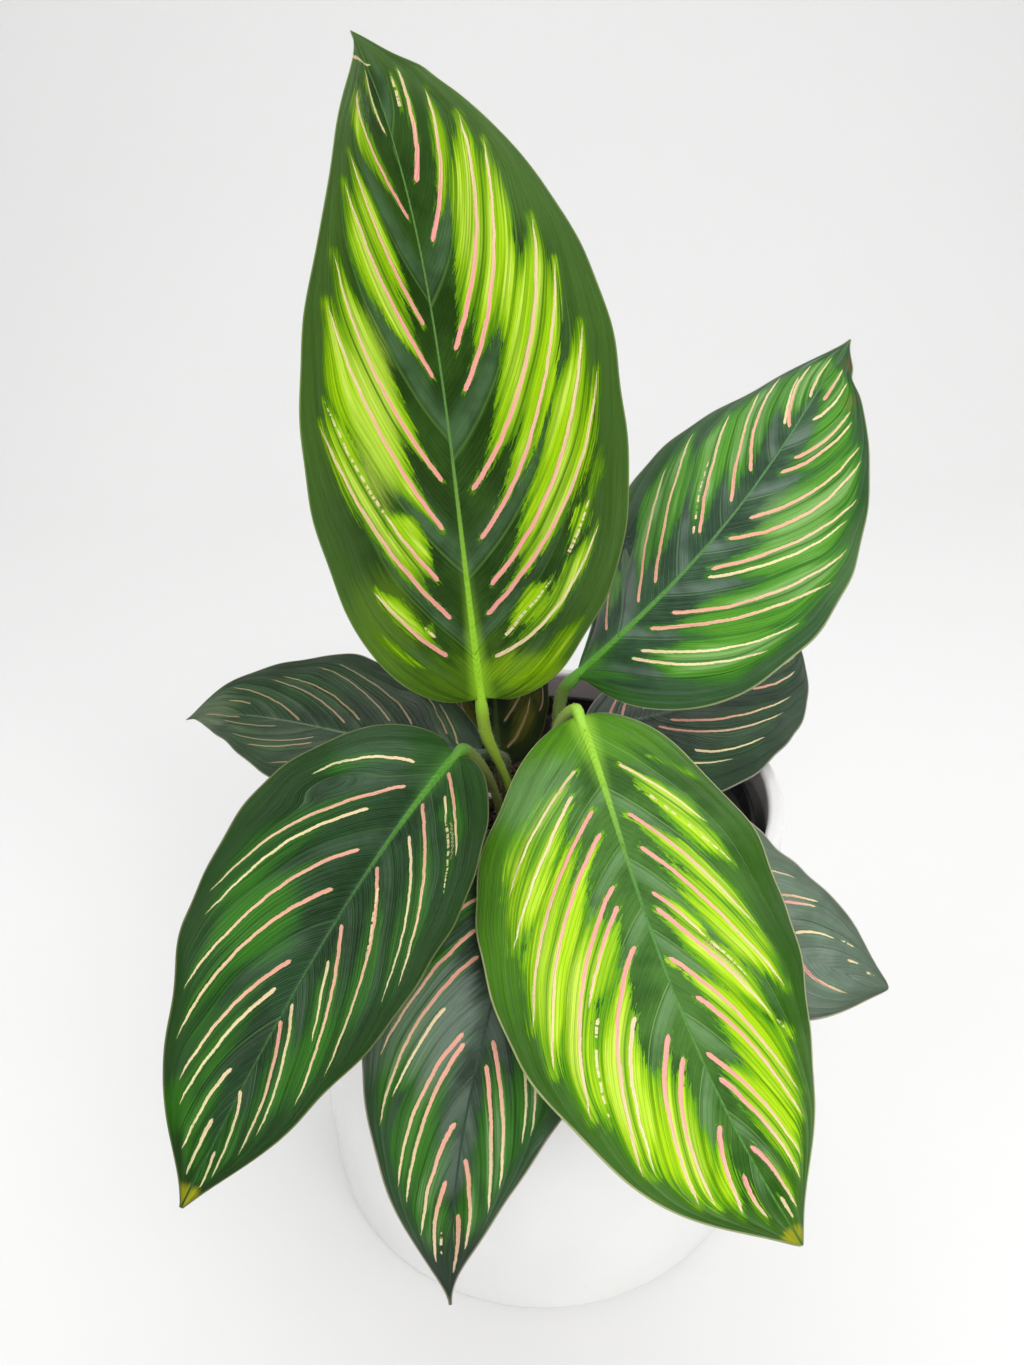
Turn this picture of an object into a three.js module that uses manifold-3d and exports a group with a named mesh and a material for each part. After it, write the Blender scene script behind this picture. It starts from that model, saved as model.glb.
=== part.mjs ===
// A potted beauty star calathea: nine patterned leaves, each a waved blade on its own stalk,
// rising from the soil of a nursery pot that stands in a plain white glazed planter.
// Millimetres, +Z up. The origin is the centre of the planter's underside.
import * as THREE from "three";
import * as BufferGeometryUtils from "three/addons/utils/BufferGeometryUtils.js";
import Module from "manifold-3d";

const wasm = await Module();
wasm.setup();

// Planter
const PLANTER_RADIUS = 75;
const PLANTER_HEIGHT = 147;
const PLANTER_WALL = 4.7;
const PLANTER_FLOOR = 6;
const FOOT_ROUNDING = 2.5;
const RIM_ROUNDING = 1.6;

// Nursery pot inside it
const NURSERY_TOP = 139.5;
const NURSERY_RADIUS = 67.3;
const NURSERY_BASE_RADIUS = 54;
const NURSERY_WALL = 1.3;
const NURSERY_LIP_DEPTH = 9;
const NURSERY_LIP_PROUD = 2.2;
const DRAIN_HOLES = 8;
const DRAIN_HOLE_RADIUS = 4.5;
const DRAIN_RING_RADIUS = 36;

// Soil
const SOIL_EDGE_TOP = 126;
const SOIL_CROWN = 2.5;
const RESTING_GAP = 0.3;
const SOIL_SIDE_GAP = 0.5;
const HOLE_CLEARANCE = 0.6;
const STALK_DEPTH_IN_SOIL = 22;

// Leaves
const BLADE_THICKNESS = 0.8;
const BLADE_ROWS = 17;
const NECK_HALF_WIDTH = 1.5;
const TIP_HALF_WIDTH = 0.4;
const MIDRIB_HALF_WIDTH = 1.6;
const MIDRIB_DROP_AT_NECK = 1.3;
const MIDRIB_DROP_AT_TIP = 0.2;
const DRIP_TIP_LENGTH = 0.07;
const DRIP_TIP_PINCH = 0.55;
const MIDRIB_STEPS = 64;

// Stalks
const STALK_SIDES = 8;
const STALK_STEPS = 14;
const STALK_RADIUS = 1.25;
const SHEATH_RADIUS = 2.1;
const PULVINUS_RADIUS = 1.9;
const PULVINUS_SHARE = 0.28;
const NECK_RADIUS = 1.6;
const STALK_TO_BLADE_GAP = 0.3;

const ROUND_SIDES = 48;

// Each leaf's blade starts at its base point and runs along a midrib that turns smoothly.
// Its heading is in degrees from +X towards +Y and its pitch in degrees above level, both at
// the base, as the pull of the middle, and at the tip. Roll turns the blade about its midrib.
// Pairs are for the left and right halves, seen from above with the tip ahead.
// A stalk leaves the soil at its root, rises past its shaft point and enters the blade from its
// bend point.
const LEAVES = [
  {
    name: "back_leaf",
    color: 0x4f8f1e,
    stalkColor: 0x9bbf2f,
    base: [-14, 0, 178],
    length: 178,
    heading: [112, 89, 139],
    pitch: [79, 75, 59],
    roll: [4, -9],
    halfWidth: [44.2, 46.8],
    widest: [0.4, 0.41],
    fullness: [0.49, 0.45],
    lobe: [-0.4, 2.7],
    fold: 20,
    curl: -0.06,
    wave: { height: 1, count: 3, start: [0.1, 0.45] },
    stalk: { root: [-4, 2], shaft: [-7.5, 1, 148], bend: [-13, -0.5, 166] },
  },
  {
    name: "right_leaf",
    color: 0x2f6b2b,
    stalkColor: 0x6f8f35,
    base: [14, -3, 186],
    length: 127,
    heading: [-18, 54, 46],
    pitch: [49, 35, 34],
    roll: [-27, -19],
    halfWidth: [37.8, 36.1],
    widest: [0.39, 0.39],
    fullness: [0.62, 0.61],
    lobe: [1.8, -3.6],
    fold: -6,
    curl: 0.24,
    wave: { height: 1, count: 3, start: [0.3, 0] },
    stalk: { root: [6, 3], shaft: [8, 2.5, 164], bend: [10, -0.5, 179.5] },
  },
  {
    name: "front_right_leaf",
    color: 0x6fae22,
    stalkColor: 0xa3c24a,
    base: [13, -21, 183],
    length: 134,
    heading: [-78, -89, -57],
    pitch: [-14, -18, -27],
    roll: [-7, 0],
    halfWidth: [35.6, 38.5],
    widest: [0.42, 0.45],
    fullness: [0.48, 0.55],
    lobe: [2.9, 1.8],
    fold: -3,
    curl: 0.18,
    wave: { height: 1.2, count: 3.5, start: [0.2, 0.6] },
    stalk: { root: [4, -5], shaft: [6.5, -7, 164], bend: [9.3, -13, 177.5] },
  },
  {
    name: "front_left_leaf",
    color: 0x1f5a2b,
    stalkColor: 0x5f7f35,
    base: [-21, -18, 170],
    length: 128,
    heading: [-127, -107, -113],
    pitch: [-15, -7, -20],
    roll: [9, 12],
    halfWidth: [32.6, 34.2],
    widest: [0.44, 0.38],
    fullness: [0.55, 0.49],
    lobe: [1.5, 4],
    fold: 23,
    curl: -0.05,
    wave: { height: 1.2, count: 3, start: [0.5, 0.2] },
    stalk: { root: [-8.5, -6], shaft: [-11.5, -7.5, 151], bend: [-16.2, -12, 164.5] },
  },
  {
    name: "front_leaf",
    color: 0x23502f,
    stalkColor: 0x55702f,
    base: [-2, -33, 155],
    length: 120,
    heading: [-89, -126, -92],
    pitch: [7, -27, -63],
    roll: [2, 12],
    halfWidth: [30.6, 32.3],
    widest: [0.33, 0.36],
    fullness: [0.59, 0.57],
    lobe: [2, 2],
    fold: 8,
    curl: 0.06,
    wave: { height: 1, count: 2.5, start: [0, 0.4] },
    stalk: { root: [-1, -11], shaft: [-1, -14, 143], bend: [-2, -22, 153] },
  },
  {
    name: "trailing_leaf",
    color: 0x35524a,
    stalkColor: 0x55702f,
    base: [20, -18, 154],
    length: 95,
    heading: [-76, -47, -28],
    pitch: [13, -25, 1],
    roll: [-11, -8],
    halfWidth: [24.9, 27.2],
    widest: [0.44, 0.47],
    fullness: [0.41, 0.5],
    lobe: [2.1, 2],
    fold: 5,
    curl: 0.07,
    wave: { height: 0.8, count: 2.5, start: [0.3, 0.8] },
    stalk: { root: [11, -5], shaft: [13, -7, 142], bend: [16.5, -9, 151] },
  },
  {
    name: "lower_right_leaf",
    color: 0x23523a,
    stalkColor: 0x6a5a3a,
    base: [18, 8, 161],
    length: 96,
    heading: [1, 47, 52],
    pitch: [4, -3, 5],
    roll: [-14, -13],
    halfWidth: [26.7, 30.1],
    widest: [0.39, 0.35],
    fullness: [0.51, 0.55],
    lobe: [2, 2],
    fold: -2,
    curl: 0.18,
    wave: { height: 0.8, count: 2.5, start: [0.6, 0.1] },
    stalk: { root: [3, 12], shaft: [4, 12, 145], bend: [8.5, 9.5, 159.5] },
  },
  {
    name: "left_leaf",
    color: 0x234a33,
    stalkColor: 0x6a4a45,
    base: [-15, 4, 156],
    length: 105,
    heading: [184, 142, 161],
    pitch: [8, 9, -20],
    roll: [11, 19],
    halfWidth: [28.3, 28.9],
    widest: [0.34, 0.42],
    fullness: [0.61, 0.53],
    lobe: [2, 2.4],
    fold: 11,
    curl: 0.02,
    wave: { height: 1, count: 3, start: [0.2, 0.7] },
    stalk: { root: [-9, 7], shaft: [-8, 7, 142], bend: [-8.5, 5, 153.5] },
  },
  {
    name: "inner_leaf",
    color: 0x2a4a2c,
    stalkColor: 0x6a5a3a,
    base: [-10, 22, 140],
    length: 70,
    heading: [96, 84, 85],
    pitch: [67, 64, 56],
    roll: [5, 8],
    halfWidth: [18.9, 18.4],
    widest: [0.4, 0.37],
    fullness: [0.5, 0.49],
    lobe: [2, 2.1],
    fold: 12,
    curl: 0.04,
    wave: { height: 0.6, count: 2, start: [0.1, 0.5] },
    stalk: { root: [-8, 17], shaft: [-8, 18, 130], bend: [-9.5, 20, 135] },
  },
];

const plant = new THREE.Group();

function addMesh(name, geometry, color, roughness) {
  const material = new THREE.MeshStandardMaterial({ color, roughness, metalness: 0 });
  const mesh = new THREE.Mesh(geometry, material);
  mesh.name = name;
  plant.add(mesh);
}

// Solids from a closed mesh and back

function toSolid(geometry) {
  const bare = geometry.clone();
  bare.deleteAttribute("normal");
  bare.deleteAttribute("uv");
  const merged = BufferGeometryUtils.mergeVertices(bare, 1e-4);
  const vertProperties = new Float32Array(merged.attributes.position.array);
  const triVerts = new Uint32Array(merged.index.array);
  return new wasm.Manifold(new wasm.Mesh({ numProp: 3, vertProperties, triVerts }));
}

function toGeometry(solid) {
  const mesh = solid.getMesh();
  const geometry = new THREE.BufferGeometry();
  geometry.setAttribute("position", new THREE.BufferAttribute(mesh.vertProperties, 3));
  geometry.setIndex(new THREE.BufferAttribute(mesh.triVerts, 1));
  return geometry;
}

function lathe(points) {
  const profile = points.map(([radius, height]) => new THREE.Vector2(radius, height));
  const geometry = new THREE.LatheGeometry(profile, ROUND_SIDES);
  geometry.rotateX(Math.PI / 2);
  return geometry;
}

// Quarter circle from one angle to another, as profile points
function arc(centreRadius, centreHeight, radius, fromDegrees, toDegrees, steps) {
  const points = [];
  for (let i = 0; i <= steps; i += 1) {
    const degrees = fromDegrees + ((toDegrees - fromDegrees) * i) / steps;
    const angle = THREE.MathUtils.degToRad(degrees);
    points.push([centreRadius + radius * Math.cos(angle), centreHeight + radius * Math.sin(angle)]);
  }
  return points;
}

// Blades

// Value that starts at the first number, ends at the last and is pulled by the middle one
function blend(values, along) {
  const [first, middle, last] = values;
  const rest = 1 - along;
  return first * rest * rest + 2 * middle * along * rest + last * along * along;
}

// The midrib's direction, and the blade's right and upper sides, at a share of its length
function frameAt(leaf, along) {
  const heading = THREE.MathUtils.degToRad(blend(leaf.heading, along));
  const pitch = THREE.MathUtils.degToRad(blend(leaf.pitch, along));
  const roll = THREE.MathUtils.degToRad(THREE.MathUtils.lerp(leaf.roll[0], leaf.roll[1], along));
  const ahead = new THREE.Vector3(
    Math.cos(pitch) * Math.cos(heading),
    Math.cos(pitch) * Math.sin(heading),
    Math.sin(pitch),
  );
  const right = new THREE.Vector3(Math.sin(heading), -Math.cos(heading), 0);
  const up = new THREE.Vector3().crossVectors(right, ahead);
  right.applyAxisAngle(ahead, -roll);
  up.applyAxisAngle(ahead, -roll);
  return { ahead, right, up };
}

// Points along the midrib, found by walking from the base in equal steps
function midribOf(leaf) {
  const points = [new THREE.Vector3(...leaf.base)];
  for (let i = 0; i < MIDRIB_STEPS; i += 1) {
    const { ahead } = frameAt(leaf, (i + 0.5) / MIDRIB_STEPS);
    const last = points[points.length - 1];
    points.push(last.clone().addScaledVector(ahead, leaf.length / MIDRIB_STEPS));
  }
  return points;
}

function midribPoint(midrib, along) {
  const place = along * MIDRIB_STEPS;
  const index = Math.min(Math.floor(place), MIDRIB_STEPS - 1);
  return midrib[index].clone().lerp(midrib[index + 1], place - index);
}

// Half width of one side: rounded at the base, pinched into a drip tip
function halfWidthAt(leaf, side, along) {
  const widest = leaf.widest[side];
  const fullness = leaf.fullness[side];
  const taper = (fullness * (1 - widest)) / widest;
  const share = THREE.MathUtils.clamp(along, 1e-6, 1 - 1e-6);
  const outline = (share / widest) ** fullness * ((1 - share) / (1 - widest)) ** taper;
  const pinch = 1 - DRIP_TIP_PINCH * Math.exp(-(((1 - share) / DRIP_TIP_LENGTH) ** 1.5));
  const least = THREE.MathUtils.lerp(NECK_HALF_WIDTH, TIP_HALF_WIDTH, along);
  return Math.hypot(leaf.halfWidth[side] * outline * pinch, least);
}

// Point of the blade's middle layer: across runs from -1 at the left margin to 1 at the right
function bladePoint(leaf, midrib, across, along) {
  const { ahead, right, up } = frameAt(leaf, along);
  const side = across < 0 ? 0 : 1;
  const reach = Math.abs(across);
  const width = halfWidthAt(leaf, side, along);
  const fold = THREE.MathUtils.degToRad(leaf.fold);
  const phase = leaf.wave.count * along + leaf.wave.start[side];
  const wave = leaf.wave.height * Math.sin(2 * Math.PI * phase) * reach ** 2 * Math.sin(Math.PI * along);
  const height = width * (Math.sin(fold) * reach - leaf.curl * reach ** 2) + wave;
  const shoulder = (width - NECK_HALF_WIDTH) / (width + 2);
  const back = leaf.lobe[side] * reach * (1 - along) ** 6 * shoulder;
  return midribPoint(midrib, along)
    .addScaledVector(right, across * width * Math.cos(fold))
    .addScaledVector(up, height)
    .addScaledVector(ahead, -back);
}

// Places across the blade: margins, two between, the midrib's two flanks and its crest
function columnsAt(leaf, along) {
  const flank = [0, 1].map((side) => Math.min(0.3, MIDRIB_HALF_WIDTH / halfWidthAt(leaf, side, along)));
  return [-1, -0.82, -0.52, -flank[0], 0, flank[1], 0.52, 0.82, 1];
}

// Two faces of the same grid, joined round the edge. The midrib stands out below.
function bladeGeometry(leaf) {
  const midrib = midribOf(leaf);
  const columns = columnsAt(leaf, 0).length;
  const positions = [];
  for (let row = 0; row < BLADE_ROWS; row += 1) {
    const share = row / (BLADE_ROWS - 1);
    const along = share - 0.035 * Math.sin(2 * Math.PI * share);
    const { up } = frameAt(leaf, along);
    const drop = THREE.MathUtils.lerp(MIDRIB_DROP_AT_NECK, MIDRIB_DROP_AT_TIP, along);
    for (const across of columnsAt(leaf, along)) {
      const point = bladePoint(leaf, midrib, across, along);
      const above = point.clone().addScaledVector(up, BLADE_THICKNESS / 2);
      const depth = BLADE_THICKNESS / 2 + (across === 0 ? drop : 0);
      const below = point.clone().addScaledVector(up, -depth);
      positions.push(...above.toArray(), ...below.toArray());
    }
  }
  const index = [];
  const top = (row, column) => 2 * (row * columns + column);
  const bottom = (row, column) => top(row, column) + 1;
  const quad = (a, b, c, d) => index.push(a, b, c, a, c, d);
  for (let row = 0; row + 1 < BLADE_ROWS; row += 1) {
    for (let column = 0; column + 1 < columns; column += 1) {
      const next = column + 1;
      quad(top(row, column), top(row, next), top(row + 1, next), top(row + 1, column));
      index.push(bottom(row, column), bottom(row + 1, next), bottom(row, next));
      index.push(bottom(row, column), bottom(row + 1, column), bottom(row + 1, next));
    }
    quad(top(row, 0), top(row + 1, 0), bottom(row + 1, 0), bottom(row, 0));
    const last = columns - 1;
    quad(top(row, last), bottom(row, last), bottom(row + 1, last), top(row + 1, last));
  }
  const end = BLADE_ROWS - 1;
  for (let column = 0; column + 1 < columns; column += 1) {
    const next = column + 1;
    quad(top(0, column), bottom(0, column), bottom(0, next), top(0, next));
    quad(top(end, column), top(end, next), bottom(end, next), bottom(end, column));
  }
  const geometry = new THREE.BufferGeometry();
  geometry.setAttribute("position", new THREE.Float32BufferAttribute(positions, 3));
  geometry.setIndex(index);
  return geometry;
}

// Stalks

// Curve from the root in the soil to just short of the blade
function stalkCurve(leaf) {
  const { ahead } = frameAt(leaf, 0);
  const end = new THREE.Vector3(...leaf.base).addScaledVector(ahead, -STALK_TO_BLADE_GAP);
  const [x, y] = leaf.stalk.root;
  const low = new THREE.Vector3(x, y, SOIL_EDGE_TOP - STALK_DEPTH_IN_SOIL);
  const surface = new THREE.Vector3(x, y, SOIL_EDGE_TOP);
  const shaft = new THREE.Vector3(...leaf.stalk.shaft);
  const bend = new THREE.Vector3(...leaf.stalk.bend);
  const nearEnd = end.clone().addScaledVector(ahead, -2.5);
  return new THREE.CatmullRomCurve3([low, surface, shaft, bend, nearEnd, end], false, "centripetal");
}

// Thick sheath in the soil, slim shaft, swollen joint below the blade
function stalkRadius(share) {
  const slimming = THREE.MathUtils.smoothstep(share, 0.25, 0.55);
  const sheath = THREE.MathUtils.lerp(SHEATH_RADIUS, STALK_RADIUS, slimming);
  const joint = THREE.MathUtils.smoothstep(share, 1 - PULVINUS_SHARE - 0.08, 1 - PULVINUS_SHARE * 0.6);
  const neck = THREE.MathUtils.smoothstep(share, 0.94, 1);
  const swollen = THREE.MathUtils.lerp(sheath, PULVINUS_RADIUS, joint);
  return THREE.MathUtils.lerp(swollen, NECK_RADIUS, neck);
}

// Closed tube along a curve, with a radius for each share of its length
function tube(curve, radiusAt, steps, sides) {
  const frames = curve.computeFrenetFrames(steps, false);
  const positions = [];
  for (let i = 0; i <= steps; i += 1) {
    const centre = curve.getPointAt(i / steps);
    const radius = radiusAt(i / steps);
    for (let j = 0; j < sides; j += 1) {
      const angle = (2 * Math.PI * j) / sides;
      const point = centre
        .clone()
        .addScaledVector(frames.normals[i], radius * Math.cos(angle))
        .addScaledVector(frames.binormals[i], radius * Math.sin(angle));
      positions.push(...point.toArray());
    }
  }
  const index = [];
  for (let i = 0; i < steps; i += 1) {
    for (let j = 0; j < sides; j += 1) {
      const here = i * sides + j;
      const beside = i * sides + ((j + 1) % sides);
      index.push(here, beside, beside + sides, here, beside + sides, here + sides);
    }
  }
  for (let j = 1; j + 1 < sides; j += 1) {
    index.push(0, j + 1, j);
    const end = steps * sides;
    index.push(end, end + j, end + j + 1);
  }
  const geometry = new THREE.BufferGeometry();
  geometry.setAttribute("position", new THREE.Float32BufferAttribute(positions, 3));
  geometry.setIndex(index);
  return geometry;
}

// Planter: one thick-walled cup with a rounded foot and a soft rim
function planterGeometry() {
  const inner = PLANTER_RADIUS - PLANTER_WALL;
  const lip = PLANTER_HEIGHT - RIM_ROUNDING;
  return lathe([
    [0, 0],
    ...arc(PLANTER_RADIUS - FOOT_ROUNDING, FOOT_ROUNDING, FOOT_ROUNDING, -90, 0, 3),
    ...arc(PLANTER_RADIUS - RIM_ROUNDING, lip, RIM_ROUNDING, 0, 90, 3),
    ...arc(inner + RIM_ROUNDING, lip, RIM_ROUNDING, 90, 180, 3),
    ...arc(inner - FOOT_ROUNDING, PLANTER_FLOOR + FOOT_ROUNDING, FOOT_ROUNDING, 0, -90, 3),
    [0, PLANTER_FLOOR],
  ]);
}

// Radius of the nursery pot's outside at a height
function nurseryRadius(height) {
  const floor = PLANTER_FLOOR + RESTING_GAP;
  const share = (height - floor) / (NURSERY_TOP - floor);
  return THREE.MathUtils.lerp(NURSERY_BASE_RADIUS, NURSERY_RADIUS - NURSERY_LIP_PROUD, share);
}

// Nursery pot: thin tapered cup with a stepped lip and drain holes in its base
function nurseryGeometry() {
  const floor = PLANTER_FLOOR + RESTING_GAP;
  const lipFoot = NURSERY_TOP - NURSERY_LIP_DEPTH;
  const cup = lathe([
    [0, floor],
    [nurseryRadius(floor), floor],
    [nurseryRadius(lipFoot), lipFoot],
    [NURSERY_RADIUS, lipFoot],
    [NURSERY_RADIUS, NURSERY_TOP],
    [NURSERY_RADIUS - NURSERY_WALL, NURSERY_TOP],
    [NURSERY_RADIUS - NURSERY_WALL, lipFoot + NURSERY_WALL],
    [nurseryRadius(lipFoot) - NURSERY_WALL, lipFoot + NURSERY_WALL],
    [nurseryRadius(floor) - NURSERY_WALL, floor + NURSERY_WALL],
    [0, floor + NURSERY_WALL],
  ]);
  let solid = toSolid(cup);
  for (let i = 0; i < DRAIN_HOLES; i += 1) {
    const angle = (2 * Math.PI * i) / DRAIN_HOLES;
    const drill = new THREE.CylinderGeometry(DRAIN_HOLE_RADIUS, DRAIN_HOLE_RADIUS, 4 * NURSERY_WALL, 10);
    drill.rotateX(Math.PI / 2);
    drill.translate(DRAIN_RING_RADIUS * Math.cos(angle), DRAIN_RING_RADIUS * Math.sin(angle), floor);
    solid = solid.subtract(toSolid(drill));
  }
  return toGeometry(solid);
}

// Soil: fills the nursery pot to below its lip, a little higher in the middle, with a plain
// hole for each stalk
function soilGeometry() {
  const floor = PLANTER_FLOOR + NURSERY_WALL + 2 * RESTING_GAP;
  const radiusAt = (height) => nurseryRadius(height) - NURSERY_WALL - SOIL_SIDE_GAP;
  let solid = toSolid(
    lathe([
      [0, floor],
      [radiusAt(floor), floor],
      [radiusAt(SOIL_EDGE_TOP), SOIL_EDGE_TOP],
      [0.6 * NURSERY_RADIUS, SOIL_EDGE_TOP + 0.7 * SOIL_CROWN],
      [0, SOIL_EDGE_TOP + SOIL_CROWN],
    ]),
  );
  for (const leaf of LEAVES) {
    const [x, y] = leaf.stalk.root;
    const depth = STALK_DEPTH_IN_SOIL + SOIL_CROWN + 2;
    const radius = SHEATH_RADIUS + HOLE_CLEARANCE;
    const drill = new THREE.CylinderGeometry(radius, radius, depth, 10);
    drill.rotateX(Math.PI / 2);
    drill.translate(x, y, SOIL_EDGE_TOP - STALK_DEPTH_IN_SOIL - HOLE_CLEARANCE + depth / 2);
    solid = solid.subtract(toSolid(drill));
  }
  return toGeometry(solid);
}

addMesh("planter", planterGeometry(), 0xf2f2f0, 0.3);
addMesh("nursery_pot", nurseryGeometry(), 0x17181a, 0.55);
addMesh("soil", soilGeometry(), 0x2d2019, 0.95);

for (const leaf of LEAVES) {
  addMesh(`${leaf.name}_blade`, bladeGeometry(leaf), leaf.color, 0.42);
  const stalk = tube(stalkCurve(leaf), stalkRadius, STALK_STEPS, STALK_SIDES);
  addMesh(`${leaf.name}_stalk`, stalk, leaf.stalkColor, 0.5);
}

export default plant;
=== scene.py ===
"""A potted beauty star calathea in a white glazed planter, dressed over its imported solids.

Every blade is rebuilt finely on the same surface formula as its solid, and its stripes, lime
feathering, veins, midrib and margin are painted by nodes from attributes laid on its points.
Leaf sizes are written in millimetres and share of length, and turned into metres at the end.
"""

import math
from functools import cache

import bpy
import numpy as np
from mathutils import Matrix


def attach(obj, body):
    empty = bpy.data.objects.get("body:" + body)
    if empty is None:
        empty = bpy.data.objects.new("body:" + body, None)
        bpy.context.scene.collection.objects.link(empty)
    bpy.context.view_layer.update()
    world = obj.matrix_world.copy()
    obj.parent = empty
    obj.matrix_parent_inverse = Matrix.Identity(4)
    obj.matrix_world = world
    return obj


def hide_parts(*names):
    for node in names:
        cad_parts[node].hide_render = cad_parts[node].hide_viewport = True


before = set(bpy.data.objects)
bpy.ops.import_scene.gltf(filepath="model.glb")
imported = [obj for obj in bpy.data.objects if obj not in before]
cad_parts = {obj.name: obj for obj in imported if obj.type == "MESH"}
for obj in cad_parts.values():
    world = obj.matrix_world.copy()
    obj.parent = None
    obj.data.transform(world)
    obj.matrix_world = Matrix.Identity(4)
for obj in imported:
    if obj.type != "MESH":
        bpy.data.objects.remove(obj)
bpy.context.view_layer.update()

MM = 0.001

# Camera

CAMERA_PLACE = (-4.725, -257.4, 326.55)
CAMERA_DOWN = 29.2
CAMERA_ROLL = 2.37
CAMERA_LENS = 27.03
CAMERA_SENSOR = 36


def make_camera():
    data = bpy.data.cameras.new("camera")
    data.lens = CAMERA_LENS
    data.sensor_width = CAMERA_SENSOR
    camera = bpy.data.objects.new("camera", data)
    tilt = math.radians(90 - CAMERA_DOWN)
    roll = math.radians(-CAMERA_ROLL)
    add_to_scene(camera, rotation("X", tilt) @ rotation("Z", roll), np.array(CAMERA_PLACE) * MM)
    bpy.context.scene.camera = camera


def add_to_scene(obj, turn, place):
    """Puts a camera or light at a place in metres. The columns of its turn are its own axes."""
    obj.matrix_world = np.vstack([np.column_stack([turn, place]), [0, 0, 0, 1]]).T
    bpy.context.scene.collection.objects.link(obj)


def rotation(axis, angle):
    c, s = math.cos(angle), math.sin(angle)
    if axis == "X":
        return np.array([[1, 0, 0], [0, c, -s], [0, s, c]])
    return np.array([[c, -s, 0], [s, c, 0], [0, 0, 1]])


# Leaves

# The same values as the solids: base point, length, heading and pitch at the base, as a pull
# of the middle and at the tip, roll, half widths of the left and right halves, and so on.
LEAVES = {
    "back_leaf": {
        "base": (-14, 0, 178), "length": 178, "heading": (112, 89, 139), "pitch": (79, 75, 59),
        "roll": (4, -9), "half": (44.2, 46.8), "widest": (0.4, 0.41), "full": (0.49, 0.45),
        "lobe": (-0.4, 2.7), "fold": 20, "curl": -0.06, "wave": (1, 3, 0.1, 0.45),
        "stalk": ((-4, 2), (-7.5, 1, 148), (-13, -0.5, 166)),
    },
    "right_leaf": {
        "base": (14, -3, 186), "length": 127, "heading": (-18, 54, 46), "pitch": (49, 35, 34),
        "roll": (-27, -19), "half": (37.8, 36.1), "widest": (0.39, 0.39), "full": (0.62, 0.61),
        "lobe": (1.8, -3.6), "fold": -6, "curl": 0.24, "wave": (1, 3, 0.3, 0),
        "stalk": ((6, 3), (8, 2.5, 164), (10, -0.5, 179.5)),
    },
    "front_right_leaf": {
        "base": (13, -21, 183), "length": 134, "heading": (-78, -89, -57), "pitch": (-14, -18, -27),
        "roll": (-7, 0), "half": (35.6, 38.5), "widest": (0.42, 0.45), "full": (0.48, 0.55),
        "lobe": (2.9, 1.8), "fold": -3, "curl": 0.18, "wave": (1.2, 3.5, 0.2, 0.6),
        "stalk": ((4, -5), (6.5, -7, 164), (9.3, -13, 177.5)),
    },
    "front_left_leaf": {
        "base": (-21, -18, 170), "length": 128, "heading": (-127, -107, -113), "pitch": (-15, -7, -20),
        "roll": (9, 12), "half": (32.6, 34.2), "widest": (0.44, 0.38), "full": (0.55, 0.49),
        "lobe": (1.5, 4), "fold": 23, "curl": -0.05, "wave": (1.2, 3, 0.5, 0.2),
        "stalk": ((-8.5, -6), (-11.5, -7.5, 151), (-16.2, -12, 164.5)),
    },
    "front_leaf": {
        "base": (-2, -33, 155), "length": 120, "heading": (-89, -126, -92), "pitch": (7, -27, -63),
        "roll": (2, 12), "half": (30.6, 32.3), "widest": (0.33, 0.36), "full": (0.59, 0.57),
        "lobe": (2, 2), "fold": 8, "curl": 0.06, "wave": (1, 2.5, 0, 0.4),
        "stalk": ((-1, -11), (-1, -14, 143), (-2, -22, 153)),
    },
    "trailing_leaf": {
        "base": (20, -18, 154), "length": 95, "heading": (-76, -47, -28), "pitch": (13, -25, 1),
        "roll": (-11, -8), "half": (24.9, 27.2), "widest": (0.44, 0.47), "full": (0.41, 0.5),
        "lobe": (2.1, 2), "fold": 5, "curl": 0.07, "wave": (0.8, 2.5, 0.3, 0.8),
        "stalk": ((11, -5), (13, -7, 142), (16.5, -9, 151)),
    },
    "lower_right_leaf": {
        "base": (18, 8, 161), "length": 96, "heading": (1, 47, 52), "pitch": (4, -3, 5),
        "roll": (-14, -13), "half": (26.7, 30.1), "widest": (0.39, 0.35), "full": (0.51, 0.55),
        "lobe": (2, 2), "fold": -2, "curl": 0.18, "wave": (0.8, 2.5, 0.6, 0.1),
        "stalk": ((3, 12), (4, 12, 145), (8.5, 9.5, 159.5)),
    },
    "left_leaf": {
        "base": (-15, 4, 156), "length": 105, "heading": (184, 142, 161), "pitch": (8, 9, -20),
        "roll": (11, 19), "half": (28.3, 28.9), "widest": (0.34, 0.42), "full": (0.61, 0.53),
        "lobe": (2, 2.4), "fold": 11, "curl": 0.02, "wave": (1, 3, 0.2, 0.7),
        "stalk": ((-9, 7), (-8, 7, 142), (-8.5, 5, 153.5)),
    },
    "inner_leaf": {
        "base": (-10, 22, 140), "length": 70, "heading": (96, 84, 85), "pitch": (67, 64, 56),
        "roll": (5, 8), "half": (18.9, 18.4), "widest": (0.4, 0.37), "full": (0.5, 0.49),
        "lobe": (2, 2.1), "fold": 12, "curl": 0.04, "wave": (0.6, 2, 0.1, 0.5),
        "stalk": ((-8, 17), (-8, 18, 130), (-9.5, 20, 135)),
    },
}

NECK_HALF_WIDTH = 1.5
TIP_HALF_WIDTH = 0.4
DRIP_TIP_LENGTH = 0.07
DRIP_TIP_PINCH = 0.55
MARGIN_HALF_THICKNESS = 0.12
INNER_THICKENING = 0.18
MIDRIB_HALF_WIDTH = 0.26
MIDRIB_BROADENING = 1.4

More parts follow.
